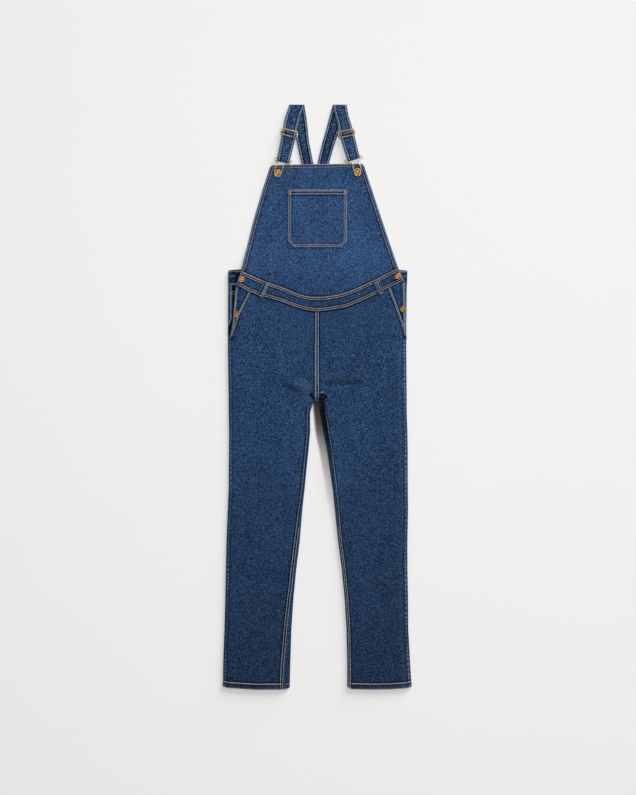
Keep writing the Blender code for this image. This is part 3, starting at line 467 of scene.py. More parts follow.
def denim(name, depth=1.0, mottle=0.0):
    """Three-by-one twill of indigo warp on a pale weft.

    The colour runs from lighter at the bib to darker at the hems. It is multiplied by a
    heathered grain that lies along the twill, by long warp slubs and by broad clouds, and
    flecks of weft show in it. Worn ridges, and the painted highlights on a few folds and edges,
    go towards the weft's colour; painted shade in creases, beside seams and under edges goes
    to deep indigo. The bump is the twill's diagonal and the slubs. depth multiplies the
    colour, and mottle adds blotches where a strip has been washed and worn."""
    made, tree, shader = new_material(name)
    cloth = tree.node("UVMap", uv_map="cloth")
    place = tree.node("TexCoord", out=3)
    height = tree.node("SeparateXYZ", {0: place}, out=1)
    wear_and_shade = tree.node("Attribute", out=2, attribute_name="wear_and_shade", attribute_type="GEOMETRY")

    up_the_leg = (height + 0.75) * (1 / 1.35)
    body = up_the_leg.node("ValToRGB", {0: up_the_leg}, stops=(
        (0.0, (0.0080, 0.0200, 0.0500)), (0.22, (0.0085, 0.0240, 0.0620)),
        (0.55, (0.0110, 0.0370, 0.0960)), (0.74, (0.0110, 0.0375, 0.1000)),
        (0.80, (0.0170, 0.0500, 0.1340)), (1.0, (0.0170, 0.0490, 0.1310))))
    turned = tree.node("Mapping", {"Vector": cloth, "Rotation": (0, 0, math.radians(-58))})
    heather = cloth.noise((640, 400, 1), detail=1, rough=0.6).above(0.42, 0.62)
    yarns = turned.noise((420, 250, 1), detail=1, w=9.4).above(0.40, 0.62)
    slub = cloth.noise((430, 60, 1), detail=1, w=3.1)
    cloud = place.noise((30, 16, 30), detail=2, rough=0.5, w=1.7)
    fading = place.noise((11, 3.5, 11), detail=2, rough=0.5, w=5.2)
    tone = (1.78 * heather + 1.1 * yarns + mottle * (yarns - 0.45) + 1.2 * (slub - 0.5)
            + 0.7 * (cloud - 0.5) + 0.9 * (fading - 0.5) - 0.16)
    tone = tone.math("MAXIMUM", tone, 0.05) * depth
    toned = tree.node("VectorMath", {0: body, 3: tone}, operation="SCALE")
    flecks = cloth.noise((520, 400, 1), detail=1, w=7.7).above(0.58, 0.66)
    share = flecks * (0.25 * mottle + 0.30 + 0.36 * up_the_leg)
    toned = tree.mix(toned, (0.150, 0.245, 0.400, 1), share)
    # Worn indigo, and the painted highlights on a few folds and edges, go towards the weft's
    # colour
    rubbing_and_highlight = wear_and_shade.above(0.02, 0.9) * (0.45 + heather)
    toned = tree.mix(toned, (0.165, 0.225, 0.320, 1), rubbing_and_highlight.math("MINIMUM", rubbing_and_highlight, 0.92))
    # Painted shade: below 0 the mark takes the colour to deep indigo, in creases, beside seams and
    # under edges
    toned = tree.mix(toned, (0.0022, 0.0036, 0.0080, 1), (0 - wear_and_shade).above(0.0, 0.85))

    twill = tree.node("TexWave", {"Vector": turned, "Scale": 330.0, "Distortion": 1.2,
                                  "Detail": 2.0, "Detail Scale": 2.0}, wave_profile="SIN")
    relief = 0.5 * twill + 0.9 * slub + 0.9 * heather
    bump = tree.node("Bump", {"Height": relief, "Strength": 0.6, "Distance": 0.0006})
    plug(tree, shader, Base_Color=toned, Roughness=0.78 + 0.2 * heather, Normal=bump)
    shader.inputs["Specular IOR Level"].default_value = 0.06
    shader.inputs["Sheen Weight"].default_value = 0.02
    shader.inputs["Sheen Roughness"].default_value = 0.6
    shader.inputs["Sheen Tint"].default_value = (0.45, 0.62, 0.95, 1)
    return made


def thread(name, colour):
    """Spun polyester topstitching: its colour, a little lighter and darker from stitch to
    stitch, with the two plies' twist as bump."""
    made, tree, shader = new_material(name)
    cloth = tree.node("UVMap", uv_map="cloth")
    tint = tree.node("Attribute", out=2, attribute_name="tint", attribute_type="GEOMETRY")
    darker = tuple(c * 0.42 for c in colour[:3]) + (1,)
    lighter = tuple(min(1, c * 1.35 + 0.02) for c in colour[:3]) + (1,)
    turned = tree.node("Mapping", {"Vector": cloth, "Rotation": (0, 0, math.radians(35))})
    twist = tree.node("TexWave", {"Vector": turned, "Scale": 900.0})
    toned = tree.mix(darker, lighter, tint * 0.75 + 0.25 * twist)
    bump = tree.node("Bump", {"Height": twist, "Strength": 0.4, "Distance": 0.0002})
    plug(tree, shader, Base_Color=toned, Normal=bump)
    shader.inputs["Roughness"].default_value = 0.75
    return made


TAN = thread("thread_tan", (0.62, 0.47, 0.36, 1))
RUST = thread("thread_rust", (0.52, 0.20, 0.06, 1))
PALE = thread("thread_pale", (0.52, 0.52, 0.51, 1))
STITCH = 3.3  # from one stitch to the next
# Half width and half height of a stitch in common, fine and heavy thread
THREAD, FINE, HEAVY = (0.42, 0.30), (0.5, 0.32), (0.55, 0.34)
BAR_TACK = {"pitch": 0.62, "size": (0.36, 0.34), "lift": 0.2, "slant": math.pi / 2}
random = np.random.default_rng(7)


def stitches(name, rows, look, pitch=STITCH, fill=0.82, size=THREAD, lift=0.12, slant=0.0):
    """A joined mesh of stitches along rows of (points, normals).

    Each stitch is a six-sided bead on four rings whose radius is a quarter ellipse at the
    ends; it is fill times the pitch long and lies on the face. slant turns it in its row."""
    places = []
    for points, normals in rows:
        length = length_along(points)
        count = max(int(length[-1] / pitch), 1)
        at = (np.arange(count) + 0.5) * length[-1] / count
        both = np.concatenate([points, normals], 1)
        ends = [np.stack([np.interp(at + shift, length, c) for c in both.T], 1)
                for shift in (-pitch * fill / 2, pitch * fill / 2)]
        places.append(np.stack(ends, 1))
    places = np.concatenate(places)
    start, stop, normal = places[:, 0, :3], places[:, 1, :3], places[:, :, 3:].mean(axis=1)
    run = stop - start
    size_along = np.linalg.norm(run, axis=1, keepdims=True)
    run /= size_along
    normal -= run * (normal * run).sum(axis=1, keepdims=True)
    normal /= np.linalg.norm(normal, axis=1, keepdims=True)
    side = np.cross(run, normal)
    run, side = (run * math.cos(slant) + side * math.sin(slant),
                 side * math.cos(slant) - run * math.sin(slant))
    middle = (start + stop) / 2 + normal * lift
    at = np.array([-1, -0.72, 0.72, 1])  # rings along the stitch, and their radius
    wide = np.array([0.3, 1.0, 1.0, 0.3])
    angle = np.arange(6) * math.pi / 3
    shape = (run[:, None, None] * (at * size_along / 2)[:, :, None, None]
             + wide[None, :, None, None] * (
                 side[:, None, None] * (np.cos(angle) * size[0])[None, None, :, None]
                 + normal[:, None, None] * (np.sin(angle) * size[1])[None, None, :, None]))
    points = middle[:, None, None] + shape
    index = np.arange(24).reshape(4, 6)
    ring = np.stack([index[:-1], np.roll(index, -1, 1)[:-1], np.roll(index, -1, 1)[1:],
                     index[1:]], -1).reshape(-1, 4)
    caps = np.array([(0, 3, 2, 1), (0, 5, 4, 3), (18, 19, 20, 21), (18, 21, 22, 23)])
    one = np.concatenate([ring, caps])[:, ::-1]
    faces = (one[None] + 24 * np.arange(len(points))[:, None, None]).reshape(-1, 4)
    uv = np.stack(np.broadcast_arrays(
        (at * size_along / 2 + 10 * np.arange(len(points))[:, None])[:, :, None],
        (angle * size[0])[None, None]), -1)
    tint = np.repeat(random.uniform(0.15, 0.9, len(points)), 24)
    made = new_mesh(name, points, faces, look, uv, {"tint": tint})
    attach(made, "root")
    return made


DENIM_BODY = denim("denim_body")


def steps(first, last, size):
    """Stations from first to last about size apart."""
    return np.linspace(first, last, max(int(round(abs(last - first) / size)), 1) + 1)


LEG_ROWS = np.unique(np.concatenate([
    steps(-750, -736, 1.6), steps(-736, -24, 2.6), steps(-24, 6, 1.0), steps(6, 140, 2.6),
    steps(140, 152, 1.5), steps(152, 280, 2.6)]))
INSEAM_ROWS = {-1: (1.4, 7.6), 1: (1.2, 5.2)}  # its two rows, in from the seam
FROM_SEAM = np.array([0, 0.7, 1.4, 2.4, 3.4, 4.6, 5.8, 7.0, 8.0, 9.2, 11, 14])
FROM_EDGE = np.array([0, 0.6, 1.2, 1.8, 2.4, 3.1, 4, 5, 6, 7, 8.2, 10, 13])


def crotch_turn(y):
    """How much of the full turn the inner edge makes: none on the body, all down the leg."""
    return np.maximum(1 - smooth(CROTCH_Y - 2, CROTCH_Y + 12, y), 0.001)


def at_hem(side, x, rows):
    """How far the rows near the hem move to follow its edge."""
    hem = HEMS[side]
    return (along(hem, x) - LEG_ROWS[0]) * (1 - smooth(-700, -560, rows))


def crotch_shade_and_highlight(x, y):
    """Below 0 for painted shade in the creases about the crotch, above 0 for a painted highlight
    on the folds beside them: bells along them. The table's columns are those of FOLDS, with
    darkness for height."""
    marks = np.array([
        (-18, 11, -7, -9, 2.2, 1.8), (-12, 12, -17, 4, 1.6, 1.2), (2, 6.5, 14, 8.5, 1.9, 1.5),
        (13, 9, 22, 0, 2.2, 1.7), (21, 2, 25, -11, 2.6, 1.3), (5, 2, 9, -24, 2.6, 1.9),
        (11, 4, 16, -22, 2.2, 1.4), (16, -8, 19, -40, 2.2, 1.0), (8, -6, 12, -46, 4.0, 0.9),
        (-88, 38, -48, 13, 9, 0.55), (-48, 14, -16, 4, 5, 0.25), (-40, 64, -14, 40, 9, 0.3),
        (14, 36, 120, 38, 9, 0.42), (26, -6, 60, -30, 9, 0.2), (-130, 70, -84, 40, 12, 0.25),
        (-78, 41, -16, 20, 8, -0.24), (3, 10.5, 16, 13, 1.8, -1.1), (25, 4, 30, -8, 2.2, -0.5),
        (-46, 52, -18, 30, 7, -0.25), (24, 22, 70, 26, 7, -0.2)])
    return -lines(marks, x, y)


def front_leg(side, word):
    """Front of one leg, from the side seam over the top to the centre seam or the inseam.
    Rows run up it and columns across it, from the side inwards: an arc along the cloth turns
    over the outer edge and, below the crotch, over the inner one. From the pocket's mouth up
    a row starts on the mouth instead and its top follows the waistband."""
    rows, column = LEG_ROWS, 1 if side < 0 else 2
    outer, inner = outline(side, rows)
    small = EDGE_TURN * crotch_turn(rows)
    top = np.abs(outer - inner) + (math.pi / 2 - 1) * (EDGE_TURN + small)
    seam = np.maximum(along(INSEAMS, rows, column), 0.2)
    near, far = 0.2 + FROM_EDGE[None], (top - seam)[:, None] - FROM_SEAM[::-1]
    share = np.linspace(0, 1, 34)[1:-1]
    middle = near[:, -1:] + (far[:, :1] - near[:, -1:]) * share
    arc = np.concatenate([near + 0 * far[:, :1], middle, far], axis=1)
    from_outer, lift_outer = turn(arc, EDGE_TURN)
    from_inner, lift_inner = turn(top[:, None] - arc, small[:, None])
    on_outer = arc < top[:, None] / 2
    inward = np.where(on_outer, from_outer, np.abs(outer - inner)[:, None] - from_inner)
    lift = np.where(on_outer, lift_outer - EDGE_TURN, lift_inner - small[:, None])
    share = np.clip((rows - MOUTH_END_Y) / (rows[-1] - MOUTH_END_Y), 0, 1)
    start_y = rows.copy()
    for _ in range(40):  # settles where a row that starts on the mouth meets its share
        goal = along(BAND_BOTTOM, along(MOUTH, start_y, column)) - SEAM_DITCH
        start_y = MOUTH_END_Y + (goal - MOUTH_END_Y) * share
    start = along(MOUTH, start_y, column)
    flat = (arc - arc[:, :1]) / (arc[:, -1:] - arc[:, :1])
    open_x = start[:, None] - side * flat * (np.abs(start) - 0.15)[:, None]
    opened = smooth(MOUTH_END_Y - 2, MOUTH_END_Y + 10, rows)[:, None]
    x = (outer[:, None] - side * inward) * (1 - opened) + open_x * opened
    goal = along(BAND_BOTTOM, x) - SEAM_DITCH
    y = np.where(rows[:, None] > MOUTH_END_Y,
                 MOUTH_END_Y + (goal - MOUTH_END_Y) * share[:, None],
                 rows[:, None] + at_hem(side, x, rows[:, None]))
    z = front_height(x, y) + lift * (1 - opened * on_outer)
    if side > 0:  # the right thigh's inner edge stands up off the floor below the crotch
        z = z + (4.5 * bell(0, 18, top[:, None] - arc) * smooth(0, 0.6, lift_inner / EDGE_TURN)
                 * between(-250, -12, 22, y))
    if side < 0:  # the mouth's edge rides up on the button under it
        centre = cad_box("placket_button_left").mean(axis=0)
        z = z + 3.8 * (1 - smooth(9, 22, np.hypot(x - centre[0] - 3, y - centre[1])))

    # Distances in from each sewn edge, and the relief and rubbing that its seam gives.
    to_seam = arc[:, -1:] - arc
    to_edge = arc - arc[:, :1]
    to_hem = (rows - rows[0])[:, None]
    on_leg = 1 - smooth(-30, -8, rows)[:, None]
    y_grid = rows[:, None] + 0 * arc
    inseam = gathers(y_grid, 10.5, 1.0 + side) * on_leg
    centre_seam = gathers(y_grid, 9.0, 2.0) * (1 - on_leg)
    side_ridge = gathers(y_grid, 11.0, 3.0 - side) * (1 - opened)
    strong = 1.0 if side > 0 else 0.6
    hem = gathers(x - side * to_hem * 0.5, 8.6, 4.0 + side)
    mouth = gathers(y_grid, 8.5, 5.0) * opened
    hem_zone = between(1.2, 11.0, 1.2, to_hem)
    ridge = 7.0 if side < 0 else 3.4  # how far the centre seam's turnings reach, each side
    to_band = along(BAND_BOTTOM, x) - y
    relief = (0.50 * between(0, 7.6, 0.8, to_seam) * (0.35 + inseam) * on_leg
              + 0.45 * between(0, ridge, 0.6, to_seam) * (0.6 + 0.6 * centre_seam) * (1 - on_leg)
              + 0.60 * bell(6.0, 2.4, to_edge) * side_ridge * strong
              + 0.60 * hem_zone * hem + 0.25 * between(0, 13.2, 0.5, to_hem)
              + 0.50 * between(0, 9.0, 0.8, to_edge) * (0.5 + 0.7 * mouth) * opened)
    first, second = INSEAM_ROWS[side]
    # Pale worn puckers and lines along the seams, the hem and the mouth; the dark lines are
    # painted shade
    wear_and_shade = ((0.25 + 0.75 * inseam) * between(second - 2.2, second + 0.8, 0.7, to_seam) * on_leg
            # painted shade between and beside the inseam's rows
            - 1.3 * bell((first + second) / 2, 1.1, to_seam) * on_leg
            - 1.0 * bell(second + 2.8, 1.2, to_seam) * on_leg
            + 0.30 * between(0, 2.0, 0.6, to_seam) * on_leg
            + (0.4 if side < 0 else 1.1) * bell(second, 1.0, to_seam) * on_leg
            * smooth(-330, -290, rows)[:, None] * (0.5 + 0.5 * inseam)
            + 0.50 * between(0.5, ridge, 0.7, to_seam) * (0.4 + 0.8 * centre_seam) * (1 - on_leg)
            # painted shade beside the centre seam's ridge
            - (0.7 if side < 0 else 1.3) * bell(ridge + 1.8, 1.2, to_seam) * (1 - on_leg)
            + 1.3 * bell(6.0, 2.1, to_edge) * side_ridge * strong
            + (0.30 * strong - 0.14) * between(3, 24, 7, to_edge) * (1 - opened)
            # painted shade inside the outseam's ridge
            - 0.55 * bell(10.0, 2.0, to_edge) * (1 - opened)
            + 1.1 * hem_zone * (hem - 0.3) + 0.8 * bell(0.6, 1.2, to_hem)
            + 1.0 * bell(13.4, 1.3, to_hem)
            # painted shade beside the hem's row
            - 1.1 * bell(16.6, 1.6, to_hem) - 0.7 * bell(10.2, 1.3, to_hem)
            + 1.2 * bell(0.4, 1.5, to_edge) * opened * (0.4 + 0.9 * mouth)
            # painted shade beside the mouth's rows
            - 1.1 * bell(2.9, 0.7, to_edge) * opened
            - 1.3 * bell(7.0, 1.3, to_edge) * opened
            # painted shadow under the waistband's lower edge
            - 1.3 * bell(0.0, 3.0, to_band) * smooth(180, 200, y))
    # Painted shade in the creases about the crotch and painted highlight on the folds beside them
    wear_and_shade = wear_and_shade + crotch_shade_and_highlight(x, y)
    if side > 0:  # the right leg's inner edge lies in its own shade below the crotch
        wear_and_shade = wear_and_shade - 1.1 * bell(0, 4.5, to_seam) * smooth(-230, -60, rows)[:, None] * on_leg
    inner_depth = np.where(rows < HEM_TOP, DENIM_HALF + HEM_EXTRA, DENIM_HALF)[:, None]
    uv = np.stack([-side * arc, y_grid], -1)
    made = Cloth(f"front_leg_{word}", np.stack([x, y, z], -1), uv, DENIM_BODY,
                 DENIM_HALF + relief, inner_depth, wear_and_shade, flip=side > 0)

    inseam_rows = [made.upright("right", first, -800, -330),
                   made.upright("right", second, -800, -300)]
    centre_row = made.upright("right", 4.3 if side < 0 else 1.8, 2.0, 400)
    mouth_rows = [made.upright("left", distance, MOUTH_END_Y + 12, 400)
                  for distance in (1.5, 4.4)]
    sewn = [stitches(f"front_inseam_stitches_{word}", inseam_rows, PALE),
            stitches(f"centre_seam_stitches_{word}", [centre_row], PALE, size=FINE),
            stitches(f"front_hem_stitches_{word}", [made.seam("low", 13.2, 1, 1)], TAN,
                     size=(0.6, 0.34)),
            stitches(f"mouth_stitches_{word}", mouth_rows, PALE, size=FINE)]
    made.fit(f"front_leg_{word}")


for side, word in SIDES:
    front_leg(side, word)


# ==========================================================================================
# Back legs: two panels that lie on the floor. They turn up round both edges of each leg: to
# the inseam, where they are felled to the front, and at the hip round the side opening, where
# their edge is turned in. A stitched centre seam joins them.
# ==========================================================================================
YOKE_SIDE_Y = 261.6  # yoke seam at the side
BACK_BAND_Y, BACK_BAND_DEEP = 287.0, 33.5  # lower edge of the back waistband at the side
SIDE_WRAP = 22.0  # how far the back reaches over at the side opening
TURNED_IN = 14.4  # from that edge to the stitches that hold its turning
# y of a back row at the side, how far the row moves at the centre back
BACK_BOW = np.array([(60.0, 0.0), (261.6, -20.0), (287.0, 18.0), (400.0, 18.0)])
# Arcs from the outer edge where the side is seamed and where it is open, and arcs from the
# inner edge with and without a strip of the back on the front
SEAMED = np.array([0.2, 0.8, 1.6, 2.4, 3.1, 14.0])
OPENED = np.array([-SIDE_WRAP, -3.1, -1.2, 1.2, 3.1, 14.0])
PLAIN = np.array([-14.0, -3.1, -2.4, -1.6, -0.9])
ROUND = np.array([-14.0, -3.1, -1.2, 1.2, 2.6])
NEAR_STEPS = np.array([0, 0.08, 0.2, 0.35, 0.5, 0.65, 0.8, 0.92, 1, 1.33, 1.67, 2, 2.33, 2.67, 3,
                       3.33, 3.67, 4, 4.2, 4.5, 5])


def finer(table, places):
    """A row of stations read at fractional places."""
    return np.interp(places, np.arange(len(table)), table)


def back_shift(x, y):
    """How far a row of the back moves: down to the yoke seam's point at the centre, up for
    the waistband."""
    return along(BACK_BOW, y) * (1 - (x / 230.0) ** 2)


def back_arcs(wrap, under, reach, full=SIDE_WRAP):
    """Stations across a back piece: its end at the side (wrap over the top where the side is
    open), round the edge, underneath, round the other edge and reach past it."""
    seamed = finer(SEAMED, NEAR_STEPS)
    opened = finer(np.concatenate([[-full], OPENED[1:]]), NEAR_STEPS)
    near = seamed + (opened - seamed) * (wrap / full)[:, None]
    turned_up = np.clip(reach / 4, 0, 1)[:, None]
    places = np.array([0, 0.6, 1, 1.33, 1.67, 2, 2.33, 2.67, 3, 3.33, 3.67, 4])
    plain, round_edge = finer(PLAIN, places), finer(ROUND, places)
    far = under[:, None] + plain + (round_edge - plain) * turned_up
    strip = far[:, -1:] + ((under + reach)[:, None] - far[:, -1:]) * np.linspace(0, 1, 9)[1:]
    middle = near[:, -1:] + (far[:, :1] - near[:, -1:]) * np.linspace(0, 1, 26)[1:-1]
    return np.concatenate([near, middle, far, strip], axis=1)


def back_grid(side, rows, arc, outer, inner, small, under):
    """Points of a back piece from rows and arcs from the outer edge, positive underneath:
    quarter turns up round both edges, flat between, rows shifted by the back's bow."""
    outer, inner, small, under = (value[:, None] for value in (outer, inner, small, under))
    from_outer, lift_outer = turn(-arc, EDGE_TURN)
    from_inner, lift_inner = turn(arc - under, small)
    near = arc < under / 2
    x = outer - side * np.where(near, from_outer, np.abs(outer - inner) - from_inner)
    over = near & (arc < 0)
    y = rows + at_hem(side, x, rows) + np.where(over, 0, back_shift(x, rows))
    z = np.where(near, LOW + EDGE_TURN + lift_outer, LOW + small + lift_inner)
    raised = np.clip((z - LOW) / (2 * EDGE_TURN), 0, 1) * ~near
    return np.stack([x, y, z + raised * (front_height(x, y) - HIGH)], -1)


def turned_edge(side, to_side):
    """Painted shade across the turned-in edge of a side opening, where its plies lie in shade,
    with a pale line beyond it, and less of both on the right."""
    shade = 0.9 * bell(13.6, 1.3, to_side) - 1.9 * between(1, 11.5, 1.2, to_side)
    return shade * (1.0 if side < 0 else 0.35)


def back_leg(side, word):
    """Back of one leg, from the side seam or side opening underneath to the inseam."""
    column = 1 if side < 0 else 2
    rows = LEG_ROWS.copy()
    squeeze = (YOKE_SIDE_Y - 0.15 - MOUTH_END_Y) / (rows[-1] - MOUTH_END_Y)
    rows = np.where(rows > MOUTH_END_Y, MOUTH_END_Y + (rows - MOUTH_END_Y) * squeeze, rows)
    outer, inner = outline(side, rows)
    small = EDGE_TURN * crotch_turn(rows)
    under = np.abs(outer - inner) + (math.pi / 2 - 1) * (EDGE_TURN + small)
    seam = np.maximum(along(INSEAMS, rows, column), 0.2)
    reach = np.where(seam > 0.21, seam - 0.5, -0.2)
    wrap = SIDE_WRAP * smooth(150, 205, rows)
    arc = back_arcs(wrap, under, reach)
    grid = back_grid(side, rows[:, None], arc, outer, inner, small, under)
    y_grid = rows[:, None] + 0 * arc
    to_side, to_seam = arc - arc[:, :1], arc[:, -1:] - arc
    to_hem = (rows - rows[0])[:, None]
    on_leg = 1 - smooth(-30, -8, rows)[:, None]
    opened = smooth(150, 175, rows)[:, None]
    underneath = smooth(0, 3, arc) * (1 - smooth(-3, 0, arc - under[:, None]))
    seam_pull = gathers(y_grid, 10.5, 2.2 + side)
    hem = gathers(grid[..., 0], 8.6, 1.0 + side) * between(1.2, 11.0, 1.2, to_hem)
    relief = (1 - underneath) * (0.3 * between(0, 6, 1, to_seam) * (0.3 + seam_pull) * on_leg
                                 + 0.35 * between(0, 7, 1, to_side) * opened + 0.4 * hem)
    wear_and_shade = (0.45 * between(0, 5, 1.2, to_seam) * seam_pull * on_leg
            + 0.6 * bell(6, 2.4, to_side) * gathers(y_grid, 11, 4) * (1 - opened)
            + turned_edge(side, to_side) * opened
            + 0.4 * between(1, 6, 1, to_seam) * seam_pull * (1 - on_leg)
            # worn pale hem, with painted shade beside its row
            + 0.5 * hem + 0.4 * bell(0.6, 1.2, to_hem) - 0.45 * bell(14, 1.7, to_hem))
    # Painted shade on the back's strip beside the right leg's inseam, below the crotch
    if side > 0:
        wear_and_shade = wear_and_shade - 0.9 * smooth(-190, -60, y_grid) * on_leg * (1 - smooth(0, 22, to_seam))
    depth = np.where(rows < HEM_TOP, DENIM_HALF + HEM_EXTRA, DENIM_HALF)[:, None]
    uv = np.stack([-side * arc + 400, y_grid], -1)
    made = Cloth(f"back_leg_{word}", grid, uv, DENIM_BODY, DENIM_HALF + relief, depth, wear_and_shade,
                 flip=side < 0)
    centre = [made.upright("right", distance, 2) for distance in (1.8, 7.9)]
    turned_in = made.upright("left", TURNED_IN, 176)
    sewn = [stitches(f"back_hem_stitches_{word}", [made.seam("low", 11.4, 2, 2)], TAN),
            stitches(f"back_seam_stitches_{word}", centre, TAN),
            stitches(f"side_edge_stitches_{word}", [turned_in], PALE)]
    made.fit(f"back_leg_{word}")


for side, word in SIDES:
    back_leg(side, word)


# ==========================================================================================
# Back yokes: the two shallow pieces between the seat and the back waistband, pointed down at
# the centre. Each goes round the side edge as the panel below it does, and is felled to it.
# ==========================================================================================
def back_yoke(side, word):
    """Back yoke between the yoke seam and the waistband: rows and arcs as in a back leg."""
    rows = steps(YOKE_SIDE_Y + 0.15, BACK_BAND_Y - 0.15, 2.6)
    outer, inner = outline(side, rows)
    small = np.full(len(rows), EDGE_TURN * 0.001)
    under = np.abs(outer - inner) + (math.pi / 2 - 1) * (EDGE_TURN + small)
    arc = back_arcs(np.full(len(rows), SIDE_WRAP), under, np.full(len(rows), -0.2))
    grid = back_grid(side, rows[:, None], arc, outer, inner, small, under)
    to_low = (rows - rows[0])[:, None]
    pull = gathers(arc, 8.5, 2.0)
    to_side = arc - arc[:, :1]
    # Worn puckers along the seam, painted shade beside its rows, and the side's painted shade
    wear_and_shade = (0.6 * between(0.3, 7, 1, to_low) * pull - 1.0 * bell(9.5, 1.6, to_low)
            + turned_edge(side, to_side))
    relief = 0.3 * between(0, 8, 1, to_low) * (1 - smooth(-2, 0, arc)) * (0.4 + pull)
    uv = np.stack([-side * arc + 700, rows[:, None] + 0 * arc], -1)
    made = Cloth(f"back_yoke_{word}", grid, uv, DENIM_BODY, DENIM_HALF + relief, DENIM_HALF, wear_and_shade,
                 flip=side < 0)
    seam_rows = [made.seam("low", distance, 1, 1) for distance in (1.6, 7.6)]
    sewn = [stitches(f"yoke_stitches_{word}", seam_rows, TAN),
            stitches(f"yoke_edge_stitches_{word}", [made.seam("left", TURNED_IN)], PALE)]
    made.fit(f"back_yoke_{word}")


for side, word in SIDES:
    back_yoke(side, word)


# ==========================================================================================
# Back waistband: one double strip with a fold along its top. It lies under the whole back and
# comes over both sides, where its buttonholed ends lie under the front waistband's buttons.
# ==========================================================================================
BAND_HALF = 1.3
WRAP_END = 42.0  # how far it reaches over onto the front
RIM_RISE, END_RISE = 3.3, 0.12  # how far its top stands up at the side, and more for each mm in


def back_waistband():
    """Back waistband: an arc over the left side, under the back and over the right side."""
    rows = steps(BACK_BAND_Y + 0.15, BACK_BAND_Y + BACK_BAND_DEEP, 1.7)
    left, right = along(LEGS, rows, 1), along(LEGS, rows, 4)
    under = right - left + (math.pi - 2) * EDGE_TURN
    halves = [back_arcs(np.full(len(rows), WRAP_END), np.abs(edge) + (math.pi / 2 - 1) * EDGE_TURN,
                        -0.15 + 0 * edge, WRAP_END) for edge in (left, right)]
    joined = [half[:, :-9] for half in halves]  # the middle, where the halves meet, once
    arc = np.concatenate([joined[0], under[:, None] - joined[1][:, ::-1]], axis=1)
    from_left, lift_left = turn(-arc, EDGE_TURN)
    from_right, lift_right = turn(arc - under[:, None], EDGE_TURN)
    near = arc < under[:, None] / 2
    x = np.where(near, left[:, None] + from_left, right[:, None] - from_right)
    z = BAND_HALF + EDGE_TURN + np.where(near, lift_left, lift_right)
    over = (arc < 0) | (arc > under[:, None])
    y = rows[:, None] + np.where(over, 0, back_shift(x, rows[:, None]))
    rim = np.where(over, 1 - smooth(-209, -201, -np.abs(x)),
                   1 - smooth(0, 60, np.where(near, from_left, from_right)))
    slope = END_RISE * np.where(near & over, from_left, 0)
    y = y + smooth(295, 320, rows)[:, None] * (RIM_RISE * rim + slope)
    to_low = (rows - rows[0])[:, None]
    to_high = to_low[::-1]
    pull = gathers(arc, 8.5, 1.0)
    on_top = np.where(over, 1.0, 0.0)
    # Worn puckers and edges; the dark lines beside the rows are painted shade
    wear_and_shade = (0.6 * between(0.3, 5.5, 1, to_low) * pull
            + 0.8 * bell(0.4, 1.5, to_high) * (0.4 + pull)
            + 0.4 * bell(4.5, 1.6, to_high) * pull - 1.1 * bell(8.0, 1.8, to_high)
            - 0.9 * bell(8.5, 1.8, to_low) - 0.9 * bell(15, 2.0, to_low))
    # Painted shade at the left end: a wedge along its top and a band across it
    shade = np.array([(-222, 323, -196, 328, 3.6, 2.2), (-208, 286, -205, 316, 3.5, 1.3)])
    wear_and_shade = wear_and_shade - lines(shade, x, y) * over
    tucked = np.minimum(arc - arc[:, :1], arc[:, -1:] - arc)
    wear_and_shade = wear_and_shade - 0.8 * on_top * (1 - smooth(6, 24, tucked))  # in the shade of the front's ends
    relief = on_top * (0.25 * between(0, 6, 1, to_low) * (0.3 + pull)
                       + 0.25 * between(0, 6, 1, to_high) * (0.3 + pull))
    uv = np.stack([rows[:, None] + 0 * arc, arc], -1)
    made = Cloth("back_waistband", np.stack([x, y, z], -1), uv, DENIM_BODY, BAND_HALF + relief,
                 BAND_HALF, wear_and_shade, flip=True, bulge=0.5)
    sewn = stitches("back_waistband_stitches",
                    [made.seam("low", 2.0, 2, 2), made.seam("high", 3.0, 2, 2),
                     made.seam("left", 3.0, 3, 3), made.seam("right", 3.0, 3, 3)], TAN)
    made.fit("back_waistband")


back_waistband()


# ==========================================================================================
# Side plackets and pocket facings: in each side opening a strip carries the two buttonholed
# plies, and the slant pocket's facing lies on it. Both are single denim, with their raw edge
# overlocked in pale thread, and go on under the front panel.
# ==========================================================================================
# y, outer edge of the left and right pocket facing
FACING = np.array([(157.0, -223.6, 227.2), (175, -219.6, 226.2), (195, -216.3, 225.4),
                   (240, -212.6, 224.4), (287.0, -208.4, 222.6), (300, -207.2, 222.0)])
DENIM_SIDE = denim("denim_side", depth=0.92)


def patch(bottom, top, left, right, across, up):
    """Grid that fills four edges (a Coons patch: the two ruled surfaces less the bilinear
    one). Bottom and top run right, left and right run up."""
    low, high = resample(bottom, across), resample(top, across)
    start, end = resample(left, up), resample(right, up)
    u, v = across[None, :, None], up[:, None, None]
    ruled = low * (1 - v) + high * v + start[:, None] * (1 - u) + end[:, None] * u
    corners = (low[0] * (1 - u) + low[-1] * u) * (1 - v) + (high[0] * (1 - u) + high[-1] * u) * v
    return ruled - corners


def laid(plan, lift=0.0):
    """Points over a plan grid of x, y at the front's height plus lift."""
    z = front_height(plan[..., 0], plan[..., 1]) + lift
    return np.concatenate([plan, z[..., None]], -1)


def ladder(face, start, end, name):
    """Overlocking along a cloth's left edge: threads 2.1 mm apart and 3.4 mm long that cross
    the edge, and two chained rows beside it."""
    points, normals = face.seam("left", 2.0, start, end)
    return [stitches(f"{name}_rungs", [(points, normals)], PALE, pitch=2.1, fill=1.62,
                     size=(0.28, 0.22), slant=math.pi / 2),
            stitches(f"{name}_chain", [face.seam("left", 4.2, start, end)], PALE, pitch=2.4)]


